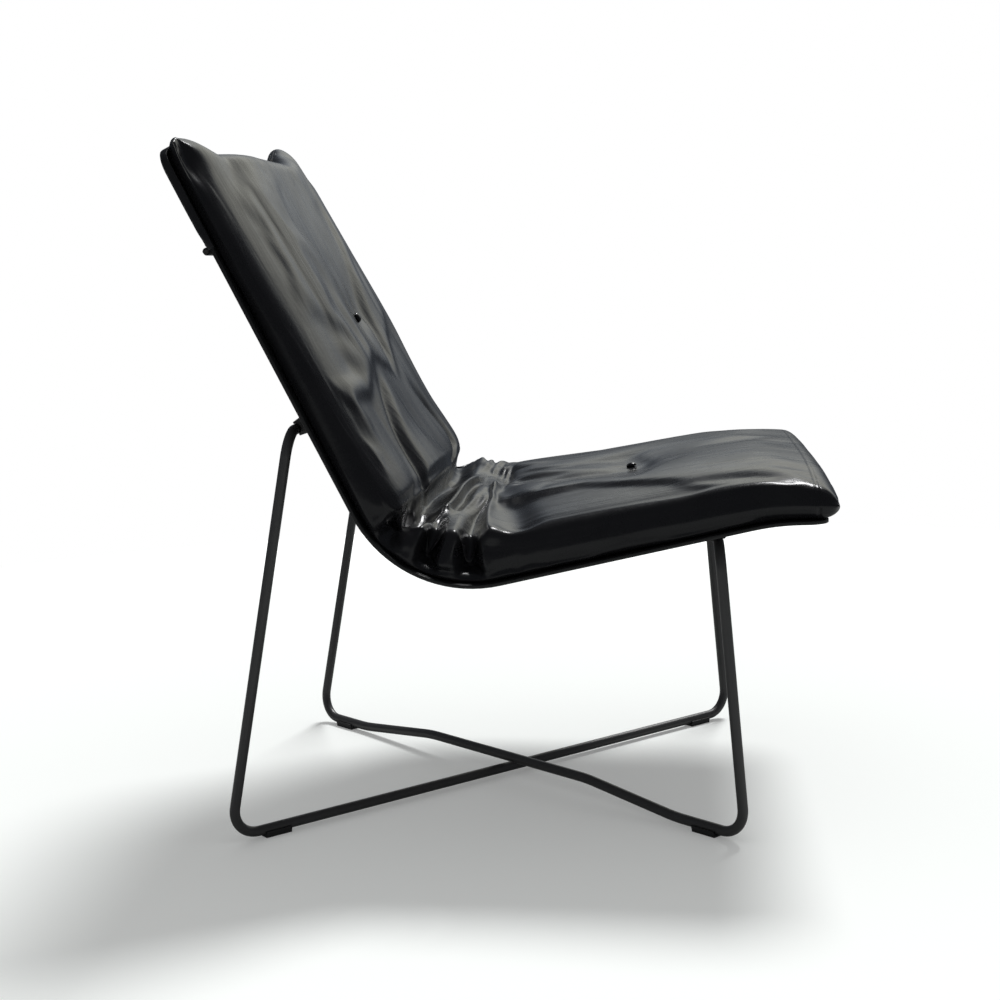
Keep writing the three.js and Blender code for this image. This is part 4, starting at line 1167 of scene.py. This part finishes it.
def settle(piece, cut, held, caps):
    """Fills the pad. Its leather was cut to lie flat, so it is too long for the inside of the fold, and the
    pressure of the filling buckles it there. held is the share by which each point is kept in place."""
    count = len(piece.data.vertices)
    start = np.zeros(3 * count)
    piece.data.vertices.foreach_get("co", start)
    piece.shape_key_add(name="bent")
    pattern = piece.shape_key_add(name="cut")
    pattern.data.foreach_set("co", (cut.reshape(-1, 3) * MM).ravel())
    group = piece.vertex_groups.new(name="held")
    for level in np.unique(np.round(held, 2)):
        if level > 0:
            group.add(np.flatnonzero(np.round(held, 2) == level).tolist(), float(level), "REPLACE")
    cloth = piece.modifiers.new("Filling", "CLOTH")
    hide = cloth.settings
    assign(hide, HIDE_AS_CLOTH)
    hide.vertex_group_mass = group.name
    hide.rest_shape_key = pattern
    hide.effector_weights.gravity = 0
    cloth.collision_settings.use_collision = False
    cloth.collision_settings.use_self_collision = True
    cloth.collision_settings.self_distance_min = HIDE_APART * MM
    cloth.point_cache.frame_start = 1
    cloth.point_cache.frame_end = CLOTH_FRAMES
    for now in range(1, CLOTH_FRAMES + 1):
        bpy.context.scene.frame_set(now)
    made = piece.evaluated_get(bpy.context.evaluated_depsgraph_get()).data
    end = np.zeros(3 * count)
    made.vertices.foreach_get("co", end)
    piece.modifiers.remove(cloth)
    piece.shape_key_clear()
    bpy.context.scene.frame_set(1)
    step = (end - start).reshape(-1, 3)
    far = np.linalg.norm(step, axis=1, keepdims=True)
    step *= np.minimum(1, caps[:, None] * MM / np.maximum(far, 1e-9))
    step = step.reshape(*cut.shape)
    share = ((caps - caps.min()) / np.ptp(caps)).reshape(*cut.shape[:2], 1)
    step += share * (softened(step) - step)
    piece.data.vertices.foreach_set("co", start + step.ravel())
    piece.data.update()


def softened(step):
    """Evens out the wrinkles that thick leather is too stiff for."""
    for _ in range(CLOTH_SMOOTH):
        ends = np.concatenate([step[:1], step, step[-1:]])
        step = (ends[:-2] + 2 * step + ends[2:]) / 4
        step = (np.roll(step, 1, axis=1) + 2 * step + np.roll(step, -1, axis=1)) / 4
    return step


class CHAIR_OT_pad(bpy.types.Operator):
    """The leather pad with its tufts, lobes and gathers"""

    bl_idname = "chair.pad"
    bl_label = "Pad"

    def execute(self, context):
        form = PadForm()
        piece = pad_mesh("leather_pad", *form.mesh())
        settle(piece, form.mesh(flat=True), form.held(), form.caps())
        apply_modifier(piece, "SUBSURF", levels=1, render_levels=1)
        smooth(piece, 180)
        hide = leather("Smooth black hide", finish_colour("leather"), HIDE_SHEEN, "UV", sewn=True)
        dressed(piece, hide, "pad", "leather", "pad_cover", "pad_core")
        return {"FINISHED"}


class CHAIR_OT_buttons(bpy.types.Operator):
    """The two tuft buttons, and the finish of their cords and anchors"""

    bl_idname = "chair.buttons"
    bl_label = "Buttons"

    def execute(self, context):
        form = PadForm()
        radius = form.pad["button"] / 2
        glossy = leather("Glossy button hide", finish_colour("button"), BUTTON_SHEEN, "Object")
        thread = waxed_thread()
        nylon = bpy.data.materials["Moulded nylon"]
        for name, s in form.tufts.items():
            deselect()
            bpy.ops.mesh.primitive_uv_sphere_add(segments=32, ring_count=16, radius=radius * MM)
            button = started(f"{name}_tuft_button")
            mode("EDIT")
            pick(button, "verts", lambda p: p.z < -TINY)
            bpy.ops.transform.resize(value=(1, 1, BUTTON_FOOT), center_override=(0, 0, 0))
            pick(button, "verts", lambda p: p.z > TINY)
            bpy.ops.transform.resize(value=(1, 1, BUTTON_DOME), center_override=(0, 0, 0))
            mode("OBJECT")
            moved(button, form.profile.square(s, form.button_seat(s) + BUTTON_RIM))
            smooth(button, 60)
            dressed(button, glossy, "pad", "button", f"{name}_button")
            for part, finish in (("cord", thread), ("anchor", nylon)):
                finished(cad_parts[f"{name}_button_{part}"], finish)
        return {"FINISHED"}


def stitch():
    """One stitch of thick thread along X, rounded off where it goes into the hide."""
    deselect()
    bpy.ops.mesh.primitive_uv_sphere_add(
        segments=8, ring_count=8, radius=STITCH_THICK * MM / 2, rotation=(0, math.pi / 2, 0))
    piece = started("stitch")
    mode("EDIT")
    select("SELECT")
    bpy.ops.transform.resize(value=(STITCH_LONG / STITCH_THICK, 1, 1), center_override=(0, 0, 0))
    mode("OBJECT")
    return piece


def sewn_along(line, height):
    """Places of the stitches along a line over a flat face, given as (x, y) points."""
    line = np.asarray(line, float)
    reach = np.concatenate([[0], np.cumsum(np.linalg.norm(np.diff(line, axis=0), axis=1))])
    count = round(reach[-1] / STITCH_PITCH)
    places = []
    for i in range(count):
        near, far = [
            np.array([np.interp((i + share) * reach[-1] / count, reach, line[:, k]) for k in (0, 1)])
            for share in (0.25, 0.75)]
        turn = math.atan2(*(far - near)[::-1])
        at = Vector((*(near + far) / 2, height)) * MM
        places.append(Matrix.Translation(at) @ Matrix.Rotation(turn, 4, "Z"))
    return places


class CHAIR_OT_hood(bpy.types.Operator):
    """The hood over the shell's top with its rolled hem and stitching, and the finish of its hem cord"""

    bl_idname = "chair.hood"
    bl_label = "Hood"

    def execute(self, context):
        profile = Profile()
        top = profile.square(0, 0)
        side = profile.half + HOOD_GAP + HIDE / 2
        drop = sizes("chair_pad")["hood_drop"]
        back = -profile.thickness - HOOD_GAP - HIDE / 2
        high = HOOD_GAP + HIDE / 2
        corner = sizes("chair_shell")["corner"] + high
        piece = self.pocket(side, drop, back, high, corner)
        self.billow(piece, drop, back)
        self.close(piece, high)
        self.thicken(piece, drop)
        moved(piece, top)
        hide = leather("Hood hide", finish_colour("leather"), HOOD_SHEEN, "Object")
        dressed(piece, hide, "pad", "leather", "pad_hood")
        thread = bpy.data.materials["Waxed thread"]
        seams = self.stitching(side, drop, back - HIDE / 2, high, corner)
        seams = dressed(moved(repeated(stitch(), "hood_stitching", seams), top), thread, "pad", "cord")
        cord = finished(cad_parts["hood_hem_cord"], thread)
        return {"FINISHED"}

    @staticmethod
    def pocket(side, drop, back, high, corner):
        """Back panel, a narrow band round its sides and top, a tongue up to the pad and a rolled hem.
        X runs across, Y up the back from the shell's top edge and Z towards the pad."""
        middle = Matrix.Translation((0, (high - drop) * MM / 2, back * MM))
        piece = plane("leather_hood", middle, 2 * side, high + drop)
        mode("EDIT")
        pick(piece, "verts", lambda p: p.y > 0)
        round_corners(corner, 8)
        at_hem = lambda p: p.y < (HEM_EDGE - drop) * MM
        pick(piece, "edges", at_hem)
        select("INVERT")
        extrude((0, 0, -back * MM))
        rim = lambda p: abs(p.z - back * MM) < TINY
        pick(piece, "edges", rim)
        bpy.ops.mesh.bevel(offset=HIDE * MM, offset_type="OFFSET", affect="EDGES", segments=3)
        tongue = sizes("chair_pad")["zip_half"]
        wide = range(-HOOD_CUT_REACH, HOOD_CUT_REACH + 1, HOOD_CUT_WIDE)
        tall = range(HOOD_CUT_TALL, int(drop) - HOOD_CUT_CLEAR, HOOD_CUT_TALL)
        cuts = [((x * MM, 0, 0), (1, 0, 0)) for x in (-tongue, *wide, tongue)]
        cuts += [((0, -y * MM, 0), (0, 1, 0)) for y in tall]
        for place, across in cuts:
            select("SELECT")
            bpy.ops.mesh.bisect(plane_co=place, plane_no=across)
        at_tongue = lambda p: abs(p.x) < (tongue + ON_FACE) * MM
        lip = lambda p: p.z > -TINY and p.y > (high - ON_FACE) * MM and at_tongue(p)
        pick(piece, "edges", lip)
        for _ in range(2):
            extrude((0, 0, HOOD_TONGUE * MM / 2))
        hem = lambda p: at_hem(p) and rim(p)
        pick(piece, "edges", hem)
        skive = (HIDE - HEM_SKIN) / 2 * MM
        bpy.ops.transform.translate(value=(0, 0, skive))
        centre = (0, -drop * MM, back * MM + skive - HEM_ROUND * MM)
        bpy.ops.mesh.spin(steps=HEM_STEPS, angle=HEM_TURN, center=centre, axis=(-1, 0, 0))
        mode("OBJECT")
        outward(piece)
        return piece

    @staticmethod
    def billow(piece, drop, back):
        """The back panel stands off the shell a little between its seams, unevenly."""
        for vertex in piece.data.vertices:
            x, y, z = vertex.co / MM
            if abs(z - back) < ON_FACE and -drop < y < 0:
                wave = noise.noise((x / HOOD_WAVE_WIDE, y / HOOD_WAVE_TALL, 0))
                swell = math.sin(math.pi * -y / drop) * (HOOD_EVEN + wave)
                vertex.co.z -= HOOD_BILLOW * max(0, swell) * MM

    @staticmethod
    def close(piece, high):
        """The band's free edge and the tongue are sewn to the pad, whose lower edge is rounded off at its
        top end, which sags in the middle."""
        form = PadForm()
        for vertex in piece.data.vertices:
            x, y, z = vertex.co / MM
            if abs(z) < ON_FACE:
                share = min(1, max(0, (high - y) / form.pad["end_round"]))
                lift = SEAM_SHARE * form.pad["edge_end"] * (1 - math.sqrt(1 - (1 - share) ** 2))
                tongue = abs(x) < form.pad["zip_half"] + 1 and y > 0
                vertex.co.z += (0 if tongue else max(HOOD_LIP, lift - HIDE)) * MM
            elif z > ON_FACE:
                edge = form.top_edge(x) - HIDE / 2
                vertex.co.y += (edge - high) * z / HOOD_TONGUE * MM

    @staticmethod
    def thicken(piece, drop):
        """Hide of even thickness, skived thin for the hem so that it can be rolled."""
        group = piece.vertex_groups.new(name="thick")
        for vertex in piece.data.vertices:
            thin = vertex.co.y < (HEM_EDGE - drop) * MM
            group.add([vertex.index], HEM_SKIN / HIDE if thin else 1.0, "REPLACE")
        apply_modifier(
            piece, "SOLIDIFY", thickness=HIDE * MM, offset=0, use_even_offset=True, vertex_group="thick")
        break_edges(piece, HOOD_BREAK, angle_limit=1.0)
        closed(piece, 50)

    @staticmethod
    def stitching(side, drop, face, high, corner):
        """One row above the hem, and one round the sides and top of the back panel."""
        inner = side - STITCH_EDGE
        upper = high - STITCH_EDGE
        bend = corner - STITCH_EDGE
        turns = np.linspace(0, math.pi / 2, 9)
        left = [(inner - bend + bend * math.cos(a), upper - bend + bend * math.sin(a)) for a in turns]
        right = [(-x, y) for x, y in reversed(left)]
        low = STITCH_EDGE - drop
        rows = [[(inner, low), (-inner, low)], [(inner, low), *left, *right, (-inner, low)]]
        return [place for row in rows for place in sewn_along(row, face)]


class CHAIR_OT_zip(bpy.types.Operator):
    """The zip in the pad's top end: its tape, two rows of teeth and the slider with its tab"""

    bl_idname = "chair.zip"
    bl_label = "Zip"

    def execute(self, context):
        form = PadForm()
        half = form.pad["zip_half"]
        seam = SEAM_SHARE * form.pad["edge_end"]
        level = seam + MOUTH_SHARE * (form.pad["crown"] / 2)
        top = form.profile.square(0, 0)
        line = lambda x: form.top_edge(x) + ZIP_PROUD
        tape = self.tape(half, level, line)
        tooth = self.tooth()
        places = []
        for i in range(int(2 * half / TOOTH_PITCH)):
            x = -half + (i + 0.5) * TOOTH_PITCH
            side = 1 if i % 2 else -1
            slope = math.atan2(line(x + 1) - line(x - 1), 2)
            at = Vector((x, line(x), level + side * TOOTH_OFFSET)) * MM
            places.append(Matrix.Translation(at) @ Matrix.Rotation(slope, 4, "Z"))
        teeth = repeated(tooth, "zip_teeth", places)
        at = -half + SLIDER_IN
        slider = moved(self.slider(), Matrix.Translation(Vector((at, line(at), level)) * MM))
        thread = bpy.data.materials["Waxed thread"]
        dressed(moved(tape, top), thread, "pad", "cord", "pad_zip")
        dressed(moved(teeth, top), bpy.data.materials["Moulded nylon"], "pad", "cord")
        dressed(moved(slider, top), bpy.data.materials["Black oxide steel"], "pad", "screw")
        return {"FINISHED"}

    @staticmethod
    def tape(half, level, line):
        """A woven strip that follows the curve of the pad's top end."""
        upright = Matrix.Translation((0, 0, level * MM)) @ Matrix.Rotation(math.pi / 2, 4, "X")
        piece = plane("zip_tape", upright, 2 * half, ZIP_TAPE)
        mode("EDIT")
        for x in np.arange(-half, half, ZIP_TAPE_STEP)[1:]:
            select("SELECT")
            bpy.ops.mesh.bisect(plane_co=(x * MM, 0, 0), plane_no=(1, 0, 0))
        mode("OBJECT")
        for vertex in piece.data.vertices:
            vertex.co.y += (line(vertex.co.x / MM) - ZIP_TAPE_THICK) * MM
        apply_modifier(piece, "SOLIDIFY", thickness=ZIP_TAPE_THICK * MM, offset=0)
        break_edges(piece, ZIP_TAPE_BREAK)
        closed(piece)
        return piece

    @staticmethod
    def tooth():
        """A tooth with a narrow neck and a wider head, its head over the middle of the tape."""
        deselect()
        bpy.ops.mesh.primitive_cube_add(size=1, scale=[length * MM for length in TOOTH_SIZE])
        piece = started("tooth")
        mode("EDIT")
        pick(piece, "faces", lambda p: p.y > 0)
        bpy.ops.mesh.inset(thickness=TOOTH_INSET * MM, depth=TOOTH_HEAD * MM)
        mode("OBJECT")
        return piece

    @staticmethod
    def slider():
        """A rounded block over the teeth, with a flat tab hanging from its bridge."""
        deselect()
        bpy.ops.mesh.primitive_cube_add(size=1, scale=[length * MM for length in SLIDER_SIZE])
        body = started("zip_slider")
        mode("EDIT")
        pick(body, "verts", lambda p: p.x > 0)
        bpy.ops.transform.resize(value=(1, 1, SLIDER_TAPER))
        pick(body, "faces", lambda p: p.y > 0)
        bpy.ops.mesh.inset(thickness=BRIDGE_INSET * MM)
        extrude((0, BRIDGE_HIGH * MM, 0))
        mode("OBJECT")
        break_edges(body, SLIDER_BREAK)
        over = Matrix.Translation((TAB_AT[0] * MM, TAB_AT[1] * MM, 0)) @ Matrix.Rotation(math.pi / 2, 4, "X")
        tab = plane("tab", over, TAB_LONG, TAB_WIDE)
        mode("EDIT")
        select("SELECT")
        round_corners(TAB_CORNER, 4)
        select("SELECT")
        bpy.ops.mesh.inset(thickness=TAB_RIM * MM)
        bpy.ops.mesh.delete(type="FACE")
        mode("OBJECT")
        apply_modifier(tab, "SOLIDIFY", thickness=TAB_THICK * MM, offset=0)
        piece = joined([body, tab], "zip_slider")
        closed(piece)
        return piece


# Stage


class CHAIR_OT_stage(bpy.types.Operator):
    """Pale floor, white surroundings, soft light from the far side and above, and the camera"""

    bl_idname = "chair.stage"
    bl_label = "Stage"

    def execute(self, context):
        self.floor()
        self.surroundings(context.scene)
        self.key_light()
        self.camera(context.scene)
        context.scene.view_settings.view_transform = "Standard"
        return {"FINISHED"}

    @staticmethod
    def floor():
        deselect()
        bpy.ops.mesh.primitive_circle_add(vertices=96, radius=FLOOR_RADIUS, fill_type="NGON")
        floor = started("floor")
        made, tree, shader, where = material("Studio floor")
        rays = add_node(tree, "ShaderNodeLightPath").outputs
        away = add_node(tree, "ShaderNodeVectorMath", {0: where}, operation="LENGTH")
        lit = add_node(tree, "ShaderNodeMapRange", {
            "Value": away.outputs["Value"],
            "From Min": FLOOR_FADE[0] * FLOOR_RADIUS, "From Max": FLOOR_FADE[1] * FLOOR_RADIUS,
            "To Min": FLOOR_GLOW[0], "To Max": FLOOR_GLOW[1]}, interpolation_type="SMOOTHSTEP")
        pale = finish_colour("floor")
        # The floor is white for the camera. For glossy rays its colour is darkened, a painted shade, so that
        # the leather mirrors a dim floor, as in a dark studio.
        mirrored = add_node(tree, "ShaderNodeMix", {
            "Factor": rays["Is Glossy Ray"], 6: pale,
            7: toned(pale, FLOOR_SHINE)}, data_type="RGBA")
        tree.links.new(mirrored.outputs[2], shader.inputs["Base Color"])
        shader.inputs["Roughness"].default_value = 0.9
        shader.inputs["Specular IOR Level"].default_value = 0.0
        shader.inputs["Emission Color"].default_value = (1, 1, 1, 1)
        glow = add_node(tree, "ShaderNodeMath", {
            0: rays["Is Camera Ray"], 1: lit.outputs["Result"]}, operation="MULTIPLY")
        tree.links.new(glow.outputs[0], shader.inputs["Emission Strength"])
        floor.data.materials.append(made)

    @staticmethod
    def surroundings(scene):
        """White for the camera. In reflections one bright panel hangs on the far side, over a dim horizon."""
        world = bpy.data.worlds.new("Studio")
        world.use_nodes = True
        tree = world.node_tree
        tree.nodes.clear()
        way = add_node(tree, "ShaderNodeTexCoord").outputs["Generated"]
        height = add_node(tree, "ShaderNodeSeparateXYZ", {"Vector": way}).outputs["Z"]
        rise = add_node(tree, "ShaderNodeMapRange", {
            "Value": height, "From Min": PANEL_RISE[0], "From Max": PANEL_RISE[1]},
            interpolation_type="SMOOTHSTEP")
        facing = add_node(tree, "ShaderNodeVectorMath", {0: way, 1: PANEL_WAY}, operation="DOT_PRODUCT")
        side = add_node(tree, "ShaderNodeMapRange", {
            "Value": facing.outputs["Value"], "From Min": PANEL_SPREAD[0], "From Max": PANEL_SPREAD[1]},
            interpolation_type="SMOOTHSTEP")
        panel = add_node(tree, "ShaderNodeMath", {
            0: rise.outputs["Result"], 1: side.outputs["Result"]}, operation="MULTIPLY")
        wall = add_node(tree, "ShaderNodeMapRange", {
            "Value": panel.outputs[0], "To Min": PANEL_LEVEL[0], "To Max": PANEL_LEVEL[1]})
        path = add_node(tree, "ShaderNodeLightPath")
        soft = add_node(tree, "ShaderNodeMix", {
            "Factor": path.outputs["Is Diffuse Ray"], 2: wall.outputs["Result"], 3: SOFT_LIGHT})
        strength = add_node(tree, "ShaderNodeMix", {
            "Factor": path.outputs["Is Camera Ray"], 2: soft.outputs[0], 3: 1.0})
        cast = add_node(tree, "ShaderNodeMix", {
            "Factor": wall.outputs["Result"], 6: linear(PANEL_TINT[0]), 7: linear(PANEL_TINT[1])},
            data_type="RGBA")
        tint = add_node(tree, "ShaderNodeMix", {
            "Factor": path.outputs["Is Glossy Ray"], 6: (1, 1, 1, 1), 7: cast.outputs[2]}, data_type="RGBA")
        shine = add_node(tree, "ShaderNodeBackground", {
            "Color": tint.outputs[2], "Strength": strength.outputs[0]})
        add_node(tree, "ShaderNodeOutputWorld", {"Surface": shine.outputs[0]})
        scene.world = world

    @staticmethod
    def key_light():
        """One large soft source, far off and high up on the far side, a little towards the chair's front."""
        lamp = bpy.data.lights.new("Key light", "SUN")
        lamp.angle = math.radians(KEY_SPREAD)
        lamp.energy = KEY_POWER
        holder = bpy.data.objects.new("Key light", lamp)
        holder.rotation_euler = Vector(KEY_WAY).to_track_quat("-Z", "Y").to_euler()
        bpy.context.scene.collection.objects.link(holder)

    @staticmethod
    def camera(scene):
        """Where the photograph was taken from: close to the chair's right side, a little in front of it."""
        yaw, pitch, roll = (math.radians(a) for a in CAMERA_TURNS)
        ahead = Vector((math.cos(yaw), math.sin(yaw), 0))
        right = Vector((math.sin(yaw), -math.cos(yaw), 0))
        up = Vector((0, 0, 1))
        view = ahead * math.cos(pitch) - up * math.sin(pitch)
        over = up * math.cos(pitch) + ahead * math.sin(pitch)
        level = right * math.cos(roll) + over * math.sin(roll)
        top = over * math.cos(roll) - right * math.sin(roll)
        lens = bpy.data.cameras.new("Camera")
        lens.sensor_width = SENSOR
        lens.lens = SENSOR * FOCAL_SHARE
        holder = bpy.data.objects.new("Camera", lens)
        turn = Matrix((level, top, -view)).transposed().to_4x4()
        holder.matrix_world = Matrix.Translation(CAMERA_AT) @ turn
        scene.collection.objects.link(holder)
        scene.camera = holder


class CHAIR_PT_panel(bpy.types.Panel):
    """Lists the chair's pieces in the sidebar"""

    bl_idname = "CHAIR_PT_panel"
    bl_label = "Lounge chair"
    bl_space_type = "VIEW_3D"
    bl_region_type = "UI"
    bl_category = "Chair"

    def draw(self, context):
        for operator in OPERATORS:
            self.layout.operator(operator.bl_idname)
        for group in GROUPS:
            held = getattr(context.scene, group)
            for name in held.__annotations__:
                self.layout.prop(held, name)


GROUPS = {
    "chair_shell": ChairShellSizes,
    "chair_base": ChairBaseSizes,
    "chair_pad": ChairPadSizes,
    "chair_finishes": ChairFinishes,
}
OPERATORS = [
    CHAIR_OT_shell,
    CHAIR_OT_rods,
    CHAIR_OT_saddles,
    CHAIR_OT_pad,
    CHAIR_OT_buttons,
    CHAIR_OT_hood,
    CHAIR_OT_zip,
    CHAIR_OT_stage,
]


def register():
    for name, group in GROUPS.items():
        bpy.utils.register_class(group)
        setattr(bpy.types.Scene, name, PointerProperty(type=group))
    for made in [*OPERATORS, CHAIR_PT_panel]:
        bpy.utils.register_class(made)


def unregister():
    for made in [CHAIR_PT_panel, *reversed(OPERATORS)]:
        bpy.utils.unregister_class(made)
    for name, group in GROUPS.items():
        delattr(bpy.types.Scene, name)
        bpy.utils.unregister_class(group)


def main():
    register()
    for operator in OPERATORS:
        family, name = operator.bl_idname.split(".")
        getattr(getattr(bpy.ops, family), name)()
    deselect()


if __name__ == "__main__":
    main()
